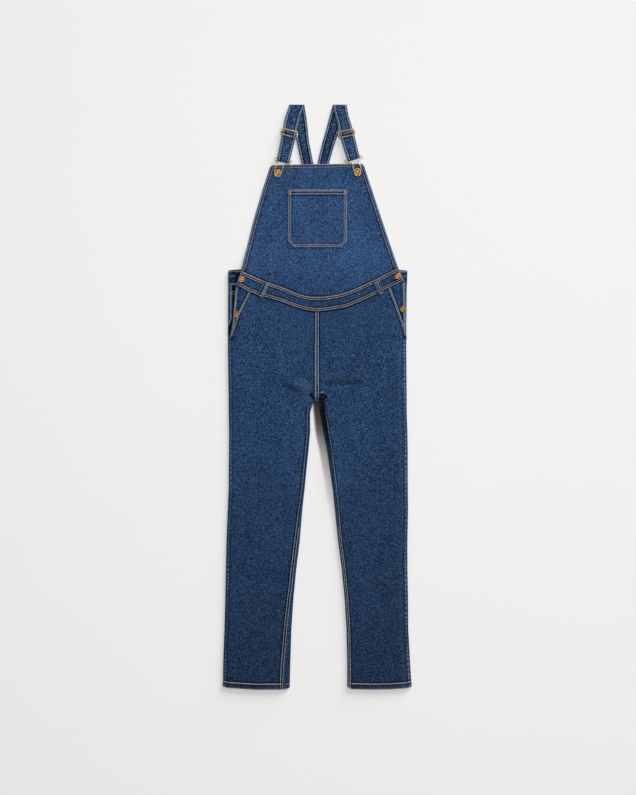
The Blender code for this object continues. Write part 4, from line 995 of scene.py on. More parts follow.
def side_placket(side, word):
    """Strip sewn to the back's edge in the side opening, under the facing."""
    ys = np.linspace(192, 285.8, 48)
    outer = along(LEGS, ys, 1 if side < 0 else 4)
    wrap = SIDE_WRAP * smooth(150, 205, ys) - (math.pi / 2 - 1) * EDGE_TURN + 1.5
    edge = np.stack([outer - side * wrap, ys], 1)
    inside = np.stack([outer - side * (wrap + 14 + 26 * smooth(192, 240, ys)), ys], 1)
    share = np.linspace(0, 1, 14)[None, :, None]
    plan = edge[:, None] * (1 - share) + inside[:, None] * share
    under_front = -3.2 - corner_rise(plan[..., 0], plan[..., 1])
    # Painted shade darkens the whole strip, which lies under the facing
    made = Cloth(f"side_placket_{word}", laid(plan, under_front), plan + (900, 0), DENIM_SIDE,
                 DENIM_HALF, DENIM_HALF, -0.35, flip=side > 0)
    made.fit(f"side_placket_{word}")


def pocket_facing(side, word):
    """Facing between the slant mouth and the side opening; it goes on under the front."""
    column = 1 if side < 0 else 2
    first, last = 172.0, 285.0
    ys = np.linspace(first, last, 56)
    edge = np.stack([along(FACING, ys, column), ys], 1)
    goal = along(BAND_BOTTOM, edge[-1, 0]) - SEAM_DITCH
    goal = min(goal, 286.6) if side < 0 else goal
    edge[:, 1] = first + (ys - first) * (goal - first) / (last - first)
    inside = np.stack([along(MOUTH, ys, column) - side * 14.0, ys], 1)
    inside[:, 0] -= side * 30 * smooth(262, 285, ys)
    high = along(BAND_BOTTOM, inside[-1, 0]) - SEAM_DITCH
    inside[:, 1] = first + (ys - first) * (high - first) / (last - first)
    across = np.linspace(0, 1, 22)
    top = edge[-1] + (inside[-1] - edge[-1]) * across[:, None]
    top[:, 1] = np.minimum(along(BAND_BOTTOM, top[:, 0]) - SEAM_DITCH, edge[-1, 1])
    plan = patch([edge[0], inside[0]], top, edge, inside, across, np.linspace(0, 1, len(ys)))
    to_edge = np.linalg.norm(plan - plan[:, :1], axis=2)
    pull = gathers(plan[..., 1], 7.5, 2.0 + side)
    wear_and_shade = 0.75 * bell(0.6, 2.0, to_edge) * (0.5 + pull) - 0.3 * between(6.5, 14, 2, to_edge)
    # Painted shade where the facing goes on under the front, past the mouth
    past_mouth = -side * (plan[..., 0] - along(MOUTH, plan[..., 1], column))
    wear_and_shade = wear_and_shade - 0.75 * smooth(-9, 3, past_mouth)
    made = Cloth(f"pocket_facing_{word}", laid(plan, -1.6), plan + (1000, 0), DENIM_SIDE,
                 DENIM_HALF + 0.3 * between(0, 5, 1, to_edge) * (0.3 + pull), DENIM_HALF, wear_and_shade,
                 flip=side > 0)
    made.fit(f"pocket_facing_{word}")
    ladder(made, 4, 4, f"facing_overlock_{word}")


for side, word in SIDES:
    side_placket(side, word)
    pocket_facing(side, word)


# ==========================================================================================
# Front waistband: a double strip with a rounded dip at the centre, cut with the warp along
# it and sewn down with twin rows of tan thread along both edges.
# ==========================================================================================
DENIM_BAND = denim("denim_band", depth=0.97)


def front_waistband():
    """Front waistband between its two edge curves, at the front's height."""
    across, up = np.linspace(0, 1, 190), np.linspace(0, 1, 20)
    right_edge = [BAND_BOTTOM[-1], (210.7, 322.0), BAND_TOP[-1]]
    plan = patch(BAND_BOTTOM, BAND_TOP, [BAND_BOTTOM[0], BAND_TOP[0]], right_edge, across, up)
    grid = laid(plan, 0.6)
    upwards = np.diff(grid, axis=0, prepend=grid[:1])
    to_low = np.cumsum(np.linalg.norm(upwards, axis=2), axis=0)
    to_high = to_low[-1] - to_low
    onwards = np.diff(grid, axis=1, prepend=grid[:, :1])
    run = np.cumsum(np.linalg.norm(onwards, axis=2), axis=1)
    to_end = np.minimum(run, run[:, -1:] - run)
    low_pull = gathers(run - 0.5 * to_low, 8.0, 0.4)
    high_pull = gathers(run + 0.5 * to_high, 8.4, 2.4)
    low_edge, high_edge = between(1.0, 7.4, 0.9, to_low), between(1.0, 7.4, 0.9, to_high)
    relief = (0.45 * low_edge * low_pull + 0.45 * high_edge * high_pull
              + 0.2 * bell(0.7, 0.9, to_low) + 0.2 * bell(0.7, 0.9, to_high)
              - 0.25 * bell(8.6, 1.4, to_low) - 0.25 * bell(8.6, 1.4, to_high))
    # Worn puckers, edges and ends; the dark lines between and beside the rows are painted shade,
    # and the band is a little darker all over
    wear_and_shade = (0.65 * low_edge * (low_pull - 0.1) + 0.75 * high_edge * (high_pull - 0.1)
            + 0.45 * bell(0.4, 1.0, to_low) + 0.65 * bell(0.4, 1.0, to_high)
            + 0.7 * bell(0.8, 1.4, to_end)
            - 0.9 * bell(4.6, 0.9, to_low) - 0.9 * bell(4.6, 0.9, to_high)
            - 0.8 * bell(9.2, 1.5, to_low) - 0.8 * bell(9.2, 1.5, to_high)
            - 0.12)
    made = Cloth("front_waistband", grid, np.stack([-to_low + 1200, run], -1), DENIM_BAND,
                 BAND_HALF + relief, BAND_HALF, wear_and_shade, bulge=0.6)
    rows = [made.seam(edge, distance, 2.2, 2.2) for edge in ("low", "high")
            for distance in (2.0, 7.2)]
    ends = [made.seam(edge, 2.4, 2.4, 2.4) for edge in ("left", "right")]
    sewn = stitches("front_waistband_stitches", rows + ends, TAN, size=HEAVY)
    made.fit("front_waistband")


front_waistband()


# ==========================================================================================
# Belt loops: two narrow strips folded in three, chain-stitched down the middle underneath,
# laid across the front waistband and bar-tacked at both ends.
# ==========================================================================================
BELT_LOOPS = {  # top end, bottom end
    "left": ((-128.8, 294.1), (-145.9, 257.0)),
    "right": ((148.5, 301.8), (165.1, 264.4)),
}
LOOP_WIDTH, LOOP_THICK = 12.5, 1.8


def belt_loop(word):
    """A strip from the lower to the upper end, bowed up 0.9 mm between its tacks."""
    (x1, y1), (x0, y0) = BELT_LOOPS[word]
    length = math.hypot(x1 - x0, y1 - y0)
    run = np.array([x1 - x0, y1 - y0]) / length
    side = np.array([run[1], -run[0]])
    up, across = np.linspace(0, 1, 44)[:, None], np.linspace(-0.5, 0.5, 15)[None, :]
    plan = (np.array([x0, y0]) + up[..., None] * np.array([x1 - x0, y1 - y0])
            + side * (across * LOOP_WIDTH)[..., None])
    free = smooth(0.06, 0.3, up) * (1 - smooth(0.7, 0.94, up))
    grid = laid(plan, 0.6 + BAND_HALF + 0.5 + 0.9 * free)
    off, run_along = np.abs(across) * LOOP_WIDTH, up * length
    pull = gathers(run_along + 0 * across, 5.5, 1.0)
    thick = LOOP_THICK + 0.35 * bell(4.6, 1.2, off) + 0.2 * pull * (1 - smooth(2, 5, off))
    # Painted highlight along the edge towards the light, a paler line along the other edge, worn
    # chain stitching down the middle and painted shade either side of it
    highlight_side = -1 if word == "right" else 1
    wear_and_shade = (2.6 * bell(LOOP_WIDTH / 2 - 1.0, 1.9, across * LOOP_WIDTH * highlight_side)
            + 0.5 * bell(LOOP_WIDTH / 2 - 0.7, 1.2, -across * LOOP_WIDTH * highlight_side)
            + 0.8 * bell(0, 1.2, off) * (pull - 0.4) - 1.1 * bell(3.0, 1.5, off) + 0 * up)
    uv = np.stack([across * LOOP_WIDTH + 1500 + 0 * up, run_along + 0 * across], -1)
    made = Cloth(f"belt_loop_{word}", grid, uv, DENIM_BAND, thick, 0.0, wear_and_shade, bulge=0.7)
    chain = [made.seam("left", LOOP_WIDTH / 2 + 0.9 + shift, 4, 4) for shift in (-0.7, 0.7)]
    tacks = [made.seam(edge, 2.0, 1.6, 1.6) for edge in ("low", "high")]
    sewn = [stitches(f"belt_loop_chain_{word}", chain, PALE, pitch=2.2),
            stitches(f"belt_loop_tacks_{word}", tacks, RUST, fill=4.2, **BAR_TACK)]
    made.fit(f"belt_loop_{word}")


for _, word in SIDES:
    belt_loop(word)


# ==========================================================================================
# Bib: one panel of denim with raking sides and a straight top, turned in and stitched twice on
# those three edges, with its lower edge caught in the front waistband.
# ==========================================================================================
BIB_TOP_LEFT, BIB_TOP_RIGHT = (-120.3, 592.3), (117.8, 596.0)
BIB_LEFT = [(-164.2, 450.0), (-137.4, 540.0)]  # the left side bows out a little
SEAM_GAP = 0.3  # from the waistband's edge up to the bib's lower one
DENIM_BIB = denim("denim_bib")
BROWN_PALE = thread("thread_brown_pale", (0.50, 0.46, 0.44, 1))


def bib():
    """Bib between the waistband's top and its own top edge; the corners are nipped in."""
    edge = np.array([0, 0.7, 1.5, 2.5, 3.6, 4.8, 6.2, 7.6, 9.0, 10.5, 12.5]) / 320
    across = np.concatenate([edge, steps(0.05, 0.95, 0.0083), 1 - edge[::-1]])
    top = 1 - np.array([0, 0.7, 1.5, 2.5, 3.6, 4.8, 6.2, 7.6, 9.0, 10.5])[::-1] / 315
    up = np.concatenate([steps(0, 0.96, 0.0082), top])
    low = BAND_TOP + (0, SEAM_GAP)
    nipped = [BIB_TOP_LEFT + np.array((4, 1.4)), BIB_TOP_RIGHT + np.array((-4, 1.4))]
    left_edge = [low[0], *BIB_LEFT, np.array(BIB_TOP_LEFT) - (1, 3.4), nipped[0]]
    right_edge = [low[-1], np.array(BIB_TOP_RIGHT) - (-1, 3.4), nipped[1]]
    plan = patch(low, nipped, left_edge, right_edge, across, up)
    wide = np.linalg.norm(plan[:, -1] - plan[:, 0], axis=1)[:, None]
    lean = math.cos(math.atan(BIB_LEAN))
    to_left, to_right = across[None] * wide * lean, (1 - across)[None] * wide * lean
    to_side = np.minimum(to_left, to_right)
    tall = np.linalg.norm(plan[-1] - plan[0], axis=1)[None]
    to_top, to_low = (1 - up)[:, None] * tall, up[:, None] * tall
    x, y = plan[..., 0], plan[..., 1]
    side_pull = gathers(y + 0.6 * to_side, 7.8, np.where(x < 0, 0.7, 2.9))
    top_pull = gathers(x + 0.5 * to_top, 7.4, 1.6)
    side_zone, top_zone = between(0.8, 8.6, 0.9, to_side), between(0.8, 7.4, 0.9, to_top)
    relief = (0.40 * side_zone * side_pull + 0.22 * between(-2, 9.4, 0.7, to_side)
              + 0.36 * top_zone * top_pull + 0.22 * between(-2, 8.4, 0.7, to_top))
    # Worn puckers and edges; the dark lines beside the rows are painted shade, and so is the dark
    # band along the waistband's seam
    wear_and_shade = (0.75 * side_zone * (side_pull - 0.15) + 0.55 * bell(0.4, 1.1, to_side)
            + 0.75 * top_zone * (top_pull - 0.1) + 0.65 * bell(0.4, 1.1, to_top)
            - 0.7 * bell(5.4, 1.2, to_side) - 0.75 * bell(10.8, 1.4, to_side)
            - 0.9 * bell(4.4, 1.2, to_top) - 0.5 * bell(9.8, 1.2, to_top)
            - 1.1 * bell(0, 3.0, to_low))
    turned_in = np.maximum(1 - smooth(10.5, 12.5, to_side), 1 - smooth(9, 11, to_top))
    made = Cloth("bib", laid(plan), np.stack([x + 1800, y], -1), DENIM_BIB, DENIM_HALF + relief,
                 DENIM_HALF + 0.6 * turned_in, wear_and_shade, bulge=0.45)
    top_rows = [made.seam("high", 1.3, 1.5, 1.5), made.seam("high", 7.4, 3, 3)]
    side_rows = [made.seam(edge, distance, 6, 2) for edge in ("left", "right")
                 for distance in (2.5, 8.2)]
    tacks = []
    for edge in ("left", "right"):
        foot = made.seam(edge, 5.3)[0][0, 1]
        tacks.append(made.upright(edge, 5.3, foot + 1, foot + 7))
    sewn = [stitches("bib_top_stitches", top_rows, TAN),
            stitches("bib_side_stitches", side_rows, BROWN_PALE),
            stitches("bib_tacks", tacks, RUST, fill=9.0, **BAR_TACK)]
    made.fit("bib")


bib()


# ==========================================================================================
# Bib pocket: a patch with cut lower corners, its edges turned in and stitched down twice, a
# deep double-stitched hem along its mouth and a bar tack at each upper corner.
# ==========================================================================================
POCKET_LEFT, POCKET_RIGHT, POCKET_LOW, POCKET_HIGH = -74.5, 74.2, 384.3, 530.4
POCKET_CHAMFER = 15.0


def bib_pocket():
    """Patch pocket on the bib, its mouth a little slack in the middle."""
    x0, x1, y0, y1, cut = POCKET_LEFT, POCKET_RIGHT, POCKET_LOW, POCKET_HIGH, POCKET_CHAMFER
    edge = np.array([0, 0.7, 1.5, 2.5, 3.6, 4.8, 6.2, 7.6, 9.5, 12.0]) / 148
    across = np.concatenate([edge, steps(0.1, 0.9, 0.016), 1 - edge[::-1]])
    up = np.concatenate([edge, steps(0.1, 0.86, 0.016), steps(0.872, 0.984, 0.010),
                         1 - edge[:3][::-1]])
    plan = patch([(x0 + cut, y0), (x1 - cut, y0)], [(x0, y1), (x1, y1)],
                 [(x0 + cut, y0), (x0, y0 + cut), (x0, y1)],
                 [(x1 - cut, y0), (x1, y0 + cut), (x1, y1)], across, up)
    x, y = plan[..., 0], plan[..., 1]
    nearer_side = np.where((x < 0)[..., None], plan[:, :1], plan[:, -1:])
    to_side = np.linalg.norm(plan - nearer_side, axis=2)
    to_low, to_top = y - y[:1], y1 - y
    middle = between(-50, 50, 20, x)
    slack = 0.5 * middle * smooth(455, 528, y) + 0.4 * bell(0, 50, x) * bell(450, 40, y)
    sides = gathers(y + 0.5 * to_side, 6.6, np.where(x < 0, 1.1, 2.2))
    lows, tops = gathers(x, 6.8, 0.9), gathers(x + 0.4 * to_top, 6.4, 2.6)
    side_zone, low_zone = between(0.6, 7.0, 0.8, to_side), between(0.6, 7.0, 0.8, to_low)
    top_zone = between(0.8, 12.4, 0.9, to_top)
    relief = (0.28 * side_zone * sides + 0.28 * low_zone * lows + 0.30 * top_zone * tops
              + 0.5 * (1 - smooth(17, 19, to_top)))
    # Worn puckers and edges; the dark lines beside the rows and the mouth's hem are painted shade
    wear_and_shade = (0.7 * side_zone * (sides - 0.1) + 0.65 * low_zone * (lows - 0.1)
            + 0.60 * top_zone * (tops - 0.1)
            + 0.7 * bell(0.3, 0.9, to_side) + 0.6 * bell(0.3, 0.9, to_low)
            + 0.75 * bell(0.3, 0.9, to_top) - 0.6 * bell(8.8, 1.3, to_side)
            - 0.7 * bell(4.0, 0.9, to_side) - 0.6 * bell(4.0, 0.9, to_low)
            - 0.6 * bell(8.8, 1.2, to_low) - 0.8 * bell(7.2, 1.4, to_top)
            - 0.75 * bell(14.6, 1.5, to_top))
    made = Cloth("bib_pocket", laid(plan, DENIM_HALF + 0.7 + slack), plan + (2300, 0), DENIM_BIB,
                 2 * DENIM_HALF + relief, 0.0, wear_and_shade, bulge=0.5)
    rows = [made.seam(edge, distance, 3, 3) for edge in ("left", "right", "low")
            for distance in (1.6, 6.4)]
    mouth = [made.seam("high", distance, 3, 3) for distance in (3.3, 11.0)]
    tacks = [made.upright(edge, 4.0, y1 - 13) for edge in ("left", "right")]
    sewn = [stitches("pocket_edge_stitches", rows, BROWN_PALE, size=FINE),
            stitches("pocket_mouth_stitches", mouth, TAN, size=HEAVY),
            stitches("pocket_tacks", tacks, RUST, fill=5.0, **BAR_TACK)]
    made.fit("bib_pocket")


bib_pocket()


# ==========================================================================================
# Straps: folded denim strips, stitched along both edges. Each is sewn on the back waistband,
# crosses under the bib, comes over the top, weaves through a slider, turns round the hook's
# bar and runs back up underneath.
# ==========================================================================================
STRAP_HALF, WOVEN_HALF = 1.2, 0.9
WOVEN_WIDTH = 35.2  # the strap's width in its slider
SLIDER_LONG, SLIDER_SHORT, SLIDER_Z, WIRE = 41.0, 15.0, 7.7, 1.1
HOOK_Z, HOOK_TURN = 4.6, 2.8  # the hook's plane, and the strap's turn round its bar
STRAP_TOP_Y, STRAP_TURN = 747.5, 1.5
# Distance from the slider's middle bar, height of the strap's middle over the wires
SLIDER_WEAVE = np.array([(0, 2.5), (1.6, 1.9), (3.75, 0.0), (5.9, -1.9), (7.5, -2.5),
                         (9.5, -2.8), (13.0, -3.2)])
# Centre x, y, width, tilt of the section (degrees), height of the middle of the strap
STRAP_ROWS = {
    "left": np.array([
        (30.0, 314, 30.0, 0, 4.1), (26.8, 341, 30.0, 0, 4.1), (25.0, 356, 30.0, 0, 1.2),
        (8.0, 420, 30.0, 0, 1.2), (-9.7, 509, 30.0, 0, 1.2), (-25.6, 597, 30.0, 0, 1.2),
        (-37.0, 652, 30.5, 0, 1.2), (-42.0, 685, 33.5, 0, 1.2), (-47.4, 717, 36.6, 0, 1.2),
        (-52.2, 743, 37.6, 0, 1.2)]),
    "right": np.array([
        (-45.0, 314, 29.0, 0, 4.1), (-42.0, 341, 29.0, 0, 4.1), (-40.0, 356, 29.0, 0, 1.2),
        (-30.0, 412, 29.0, 0, 1.2), (-25.0, 436, 29.0, 0, 3.9), (-9.7, 509, 29.0, 0, 3.9),
        (9.0, 570, 29.0, 0, 3.9), (14.0, 595, 28.4, 0, 1.2), (27.7, 648, 31.0, 0, 1.2),
        (38.6, 682, 33.0, 0, 1.2), (48.0, 714, 35.0, 0, 1.2), (56.0, 743, 34.4, 0, 1.2)]),
}
STRAP_FRONT_ROWS = {
    "left": np.array([(-54.0, 741, 37.4, -1, 4.2), (-61.8, 722, 35.8, -6, 4.2),
                      (-67.4, 700, 35.6, -12, 4.2)]),
    "right": np.array([(57.8, 741, 34.0, 1, 4.2), (63.6, 717, 32.6, 4, 4.2),
                       (69.2, 697, 33.0, 9, 4.2)]),
}
STRAP_END = {"left": (-87.7, 602.0, 31.2, -12.0), "right": (93.3, 608.5, 31.1, 18.0)}
SLIDER_TILT = {"left": -15.0, "right": 12.0}
DENIM_STRAP = denim("denim_strap", depth=0.70, mottle=1.4)
STRAP_THREAD = thread("thread_grey_blue", (0.48, 0.56, 0.67, 1))


def middle_of(node):
    """Middle of a CAD node's box, mm."""
    return cad_box(node).mean(axis=0)


def strap(word):
    """A strip along a path of rows, each a centre, a width, a tilt and a height. Rows run
    from the sewn end to the loose one and columns across the strip."""
    back, front = STRAP_ROWS[word], STRAP_FRONT_ROWS[word]
    rows = [tuple(row) for row in back]
    bx, _, bw, _, bz = back[-1]
    for angle in (-90, -60, -30, 0, 30, 60, 90):
        a, share = math.radians(angle), (angle + 90) / 180
        rows.append((bx + (front[0][0] - bx) * share,
                     STRAP_TOP_Y - STRAP_TURN * (1 - math.cos(a)),
                     bw + (front[0][2] - bw) * share, 0, bz + STRAP_TURN * (1 + math.sin(a))))
    rows += [tuple(row) for row in front]
    (sx, sy), tilt = middle_of(f"strap_slider_{word}")[:2], SLIDER_TILT[word]
    ex, ey, end_width, end_tilt = STRAP_END[word]
    down = np.array([ex - sx, ey - sy]) / math.hypot(ex - sx, ey - sy)
    weave = np.concatenate([SLIDER_WEAVE[::-1] * (-1, 1), SLIDER_WEAVE[1:]])
    rows += [(sx + down[0] * v, sy + down[1] * v, WOVEN_WIDTH, tilt, SLIDER_Z + z)
             for v, z in weave]
    low = rows[-1][4]
    far = math.hypot(ex - sx, ey - sy) - HOOK_TURN
    for share, z in ((0.45, 0.2), (0.75, 0.6), (1.0, 1.0)):
        v = 13 + (far - 13) * share
        width = WOVEN_WIDTH + (end_width - WOVEN_WIDTH) * share
        rows.append((sx + down[0] * v, sy + down[1] * v, width,
                     tilt + (end_tilt - tilt) * share, low + (HOOK_Z + HOOK_TURN - low) * z))
    for angle in (60, 30, 0, -30, -60, -90):
        a = math.radians(angle)
        v = far + HOOK_TURN * math.cos(a)
        rows.append((sx + down[0] * v, sy + down[1] * v, end_width, end_tilt,
                     HOOK_Z + HOOK_TURN * math.sin(a)))
    for share in (0.65, 0.3, 0.0):
        v = 20 + (far - 20) * share
        rows.append((sx + down[0] * v, sy + down[1] * v, 34.4 + (end_width - 34.4) * share,
                     tilt + (end_tilt - tilt) * share, HOOK_Z - HOOK_TURN))
    rows = np.array(rows)
    # Each span cut to about 2.2 mm
    spans = np.linalg.norm(np.diff(rows[:, [0, 1, 4]], axis=0), axis=1)
    counts = np.maximum(np.ceil(spans / 2.2).astype(int), 2)
    at = np.concatenate([i + np.arange(n) / n for i, n in enumerate(counts)] + [[len(rows) - 1]])
    rows = np.stack([np.interp(at, np.arange(len(rows)), column) for column in rows.T], axis=1)
    kernel = np.array([0.25, 0.5, 0.25])
    for _ in range(2):  # rounds the corners between spans
        rows[1:-1] = sum(w * rows[i:len(rows) - 2 + i] for i, w in enumerate(kernel))
    across = np.concatenate([[-0.5, -0.48, -0.455, -0.42], steps(-0.38, 0.38, 0.064),
                             [0.42, 0.455, 0.48, 0.5]])[None, :]
    tilts, wide = np.radians(rows[:, 3:4]), rows[:, 2:3]
    x = rows[:, 0:1] + across * wide * np.cos(tilts)
    y = rows[:, 1:2] + across * wide * np.sin(tilts)
    centre = rows[:, [0, 1, 4]]
    run = length_along(centre)[:, None]
    z = rows[:, 4:5] + 0 * x
    to_edge = (0.5 - np.abs(across)) * wide
    pull = gathers(run + 3 * across, 6.2, np.where(across < 0, 1.0, 2.5))
    zone = between(0.6, 6.2, 0.9, to_edge)
    relief = 0.28 * zone * pull + 0.25 * bell(2.0, 1.6, to_edge)
    # Worn puckers, edges and pale marks; the dark line inside the stitching is painted shade, and
    # the strap is darker where it lies on the floor near and above the bib's top
    wear_and_shade = (0.5 * zone * pull + 0.75 * bell(0.3, 1.2, to_edge) * (0.5 + pull)
            - 0.9 * bell(6.8, 1.4, to_edge) + 0.55 * bell(0.5, 0.12, gathers(run, 17, 1.3))
            * smooth(6, 9, to_edge) * gathers(run + 40 * across, 11, 2.2)
            - 0.25 * (1 - smooth(1.3, 3.2, rows[:, 4:5])) * smooth(560, 620, rows[:, 1:2]))
    half = np.where((np.abs(rows[:, 4] - SLIDER_Z) < 2.9) & (rows[:, 1] > 640), WOVEN_HALF,
                    STRAP_HALF)
    half = np.convolve(np.pad(half, 2, "edge"), np.ones(5) / 5, "valid")[:, None]
    z = np.maximum(z, half + relief + 0.02)  # clear of the floor on both faces
    uv = np.stack([across * wide + (2700 if word == "left" else 2800), run + 0 * across], -1)
    made = Cloth(f"strap_{word}", np.stack([x, y, z], -1), uv, DENIM_STRAP, half + relief, half,
                 wear_and_shade, flip=True, bulge=0.6)
    rows = [made.seam(edge, 4.0, 6, 6) for edge in ("left", "right")]
    # Turned over, for the same two rows underneath, as far as the strap's turn at the top
    made.face = made.face - made.normal * (2 * half + relief)[..., None]
    made.normal = -made.normal
    under = [made.seam(edge, 4.0, 6, 6) for edge in ("left", "right")]
    turn_at = int(np.argmax(under[0][0][:, 1]))
    rows += [(points[:turn_at - 2], normals[:turn_at - 2]) for points, normals in under]
    sewn = [stitches(f"strap_stitches_{word}", rows, STRAP_THREAD, pitch=5.6, fill=0.62,
                     size=(0.95, 0.36))]
    made.fit(f"strap_{word}")


for _, word in SIDES:
    strap(word)


# ==========================================================================================
# Strap sliders: a rounded frame of gilt wire that lies over the strap, and a middle bar whose
# ends are curled once round the frame's short sides.
# ==========================================================================================
def brass(name, colour, rough):
    """Gilt metal: its colour, dulled in blotches and darkened with painted shade in the grooves,
    with fine brushing and small dents as bump."""
    made, tree, shader = new_material(name)
    place = tree.node("TexCoord", out=3)
    groove = tree.node("Attribute", out=2, attribute_name="groove", attribute_type="GEOMETRY")
    blotch = place.noise((260, 260, 260), detail=4, rough=0.6)
    fine = place.noise((2600, 2600, 2600), detail=2, w=3)
    dull = tuple(c * 0.62 for c in colour[:3]) + (1,)
    shade = tuple(c * 0.16 for c in colour[:3]) + (1,)
    toned = tree.mix(colour, dull, blotch.above(0.42, 0.72))
    toned = tree.mix(toned, shade, groove * 0.85)
    bump = tree.node("Bump", {"Height": 0.5 * fine + blotch, "Strength": 0.25, "Distance": 0.0003})
    plug(tree, shader, Base_Color=toned, Roughness=rough + 0.22 * blotch + 0.15 * groove,
         Normal=bump)
    shader.inputs["Metallic"].default_value = 1.0
    return made


def fit_brass(made, node):
    """Rides a metal piece on the garment's one body, in place of its CAD node."""
    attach(made, "root")
    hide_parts(node)


WIRE_GOLD = brass("gilt_wire", (0.68, 0.41, 0.15, 1), 0.26)


def tube(path, radius, sides=14):
    """Points and faces of round wire along a closed path: a circle of that radius square to
    the path at each of its points, kept level with the floor."""
    path = np.asarray(path, float)
    forward = np.roll(path, -1, axis=0) - np.roll(path, 1, axis=0)
    forward /= np.linalg.norm(forward, axis=1, keepdims=True)
    lift = np.array([0.0, 0.0, 1.0]) - forward * forward[:, 2:3]
    lift /= np.linalg.norm(lift, axis=1, keepdims=True)
    side = np.cross(forward, lift)
    angle = np.arange(sides) * 2 * math.pi / sides
    radius = np.broadcast_to(radius, len(path))[:, None, None]
    points = path[:, None] + radius * (np.cos(angle)[None, :, None] * side[:, None]
                                       + np.sin(angle)[None, :, None] * lift[:, None])
    index = np.arange(len(path) * sides).reshape(len(path), sides)
    after = np.roll(index, -1, axis=0)
    faces = np.stack([index, after, np.roll(after, -1, 1), np.roll(index, -1, 1)], -1)
    return points.reshape(-1, 3), faces.reshape(-1, 4)


def pole(ring):
    """Quads that close a ring of an even number of points."""
    return np.array([(ring[0], *ring[i:i + 3]) for i in range(1, len(ring) - 2, 2)])


def turned_bar(profile, sides=14):
    """Points and faces of a bar turned about X, from (x, radius) pairs: a circle of each
    radius at each x, closed with a near point at both ends."""
    angle = np.arange(sides) * 2 * math.pi / sides
    profile = np.asarray(profile, float)
    points = np.stack([np.repeat(profile[:, :1], sides, 1), profile[:, 1:] * np.cos(angle),
                       profile[:, 1:] * np.sin(angle)], -1)
    index = np.arange(len(profile) * sides).reshape(len(profile), sides)
    faces = np.stack([index[:-1], np.roll(index[:-1], -1, 1), np.roll(index[1:], -1, 1),
                      index[1:]], -1)
    return points.reshape(-1, 3), np.concatenate([faces.reshape(-1, 4), pole(index[0])[:, ::-1],
                                                  pole(index[-1])])


def slider(word):
    """Frame: a rounded rectangle of wire. Bar: a straight wire with a barrel at each end."""
    (x, y, _), tilt = middle_of(f"strap_slider_{word}"), math.radians(SLIDER_TILT[word])
    a, b, corner = SLIDER_LONG / 2, SLIDER_SHORT / 2, 3.2
    quarter = np.radians(np.arange(0, 91, 11.25))
    corners = [(a - corner, b - corner, 0), (-a + corner, b - corner, 90),
               (-a + corner, -b + corner, 180), (a - corner, -b + corner, 270)]
    path = np.concatenate([np.stack([cx + corner * np.cos(quarter + math.radians(t)),
                                     cy + corner * np.sin(quarter + math.radians(t))], 1)
                           for cx, cy, t in corners])
    path = np.column_stack([path, np.full(len(path), SLIDER_Z)])
    points, faces = tube(path, WIRE)
    barrel = [(-2.6, 0.2), (-2.6, 1.5), (-2.2, 2.0), (-1.4, 2.15), (0, 2.2), (1.4, 2.15),
              (2.2, 2.0), (2.6, 1.5), (2.6, 1.0)]  # along the bar from its end's middle, radius
    whole = [(-a + u, r) for u, r in barrel] + [(a - u, r) for u, r in barrel[::-1]]
    bar_points, bar_faces = turned_bar(whole)
    bar_points = bar_points * (1, 1, 0.9) + (0, 0, SLIDER_Z)
    points = np.concatenate([points, bar_points])
    faces = np.concatenate([faces, bar_faces + len(points) - len(bar_points)])
    cos, sin = math.cos(tilt), math.sin(tilt)
    placed = np.stack([x + points[:, 0] * cos - points[:, 1] * sin,
                       y + points[:, 0] * sin + points[:, 1] * cos, points[:, 2]], 1)
    made = new_mesh(f"strap_slider_{word}_wire", placed, faces, WIRE_GOLD,
                    marks={"groove": np.zeros(len(points))})
    fit_brass(made, f"strap_slider_{word}")


for _, word in SIDES:
    slider(word)


# ==========================================================================================
# Strap hooks: one bent gilt wire each, a bar held in the strap's turn, a neck, shoulders and
# a keyhole ring that lies under the bib button's cap.
# ==========================================================================================
HOOKS = {  # down one side of the wire, round the button, up the other; then the hidden bar
    "left": [(-106.2, 612.6), (-110.0, 609.2), (-106.4, 604.4), (-100.9, 599.8),
             (-102.6, 594.6), (-106.6, 590.2), (-108.6, 584.0), (-110.4, 576.0),
             (-108.4, 567.2), (-102.4, 563.9), (-96.2, 567.0), (-93.6, 573.4),
             (-90.6, 581.4), (-88.3, 587.2), (-87.0, 592.6), (-82.6, 595.6),
             (-75.4, 595.8), (-68.4, 598.0), (-66.2, 601.6), (-69.6, 604.4)],
    "right": [(73.4, 607.2), (70.6, 604.4), (73.0, 600.8), (79.8, 600.0), (87.0, 600.4),
              (91.0, 597.0), (90.6, 591.6), (91.6, 585.6), (93.8, 577.4), (95.6, 569.8),
              (102.2, 566.0), (108.6, 569.4), (110.8, 577.6), (110.2, 586.2),
              (109.4, 592.6), (105.2, 597.6), (104.0, 602.4), (108.8, 607.6),
              (115.0, 613.4), (113.0, 617.6), (109.2, 617.0)],
}
HOOK_GOLD = brass("pale_gilt_wire", (0.62, 0.43, 0.24, 1), 0.24)
for _, word in SIDES:
    path = curve([(x, y, HOOK_Z) for x, y in HOOKS[word]], 7, closed=True)
    points, faces = tube(path, WIRE)
    hook = new_mesh(f"strap_hook_{word}_wire", points, faces, HOOK_GOLD,
                    marks={"groove": np.zeros(len(points))})
    fit_brass(hook, f"strap_hook_{word}")


# ==========================================================================================
# Buttons: six shank buttons of pressed gilt brass, a dished cap with a raised rim, a groove
# and a rayed boss, on a tack that is riveted through the cloth.
# ==========================================================================================
BUTTON_GOLD = brass("gilt_button", (0.62, 0.32, 0.11, 1), 0.34)
COPPER_GOLD = brass("copper_button", (0.50, 0.25, 0.09, 1), 0.36)
SHANK = 3.2  # radius
AROUND = 108  # points round a button: two for each notch
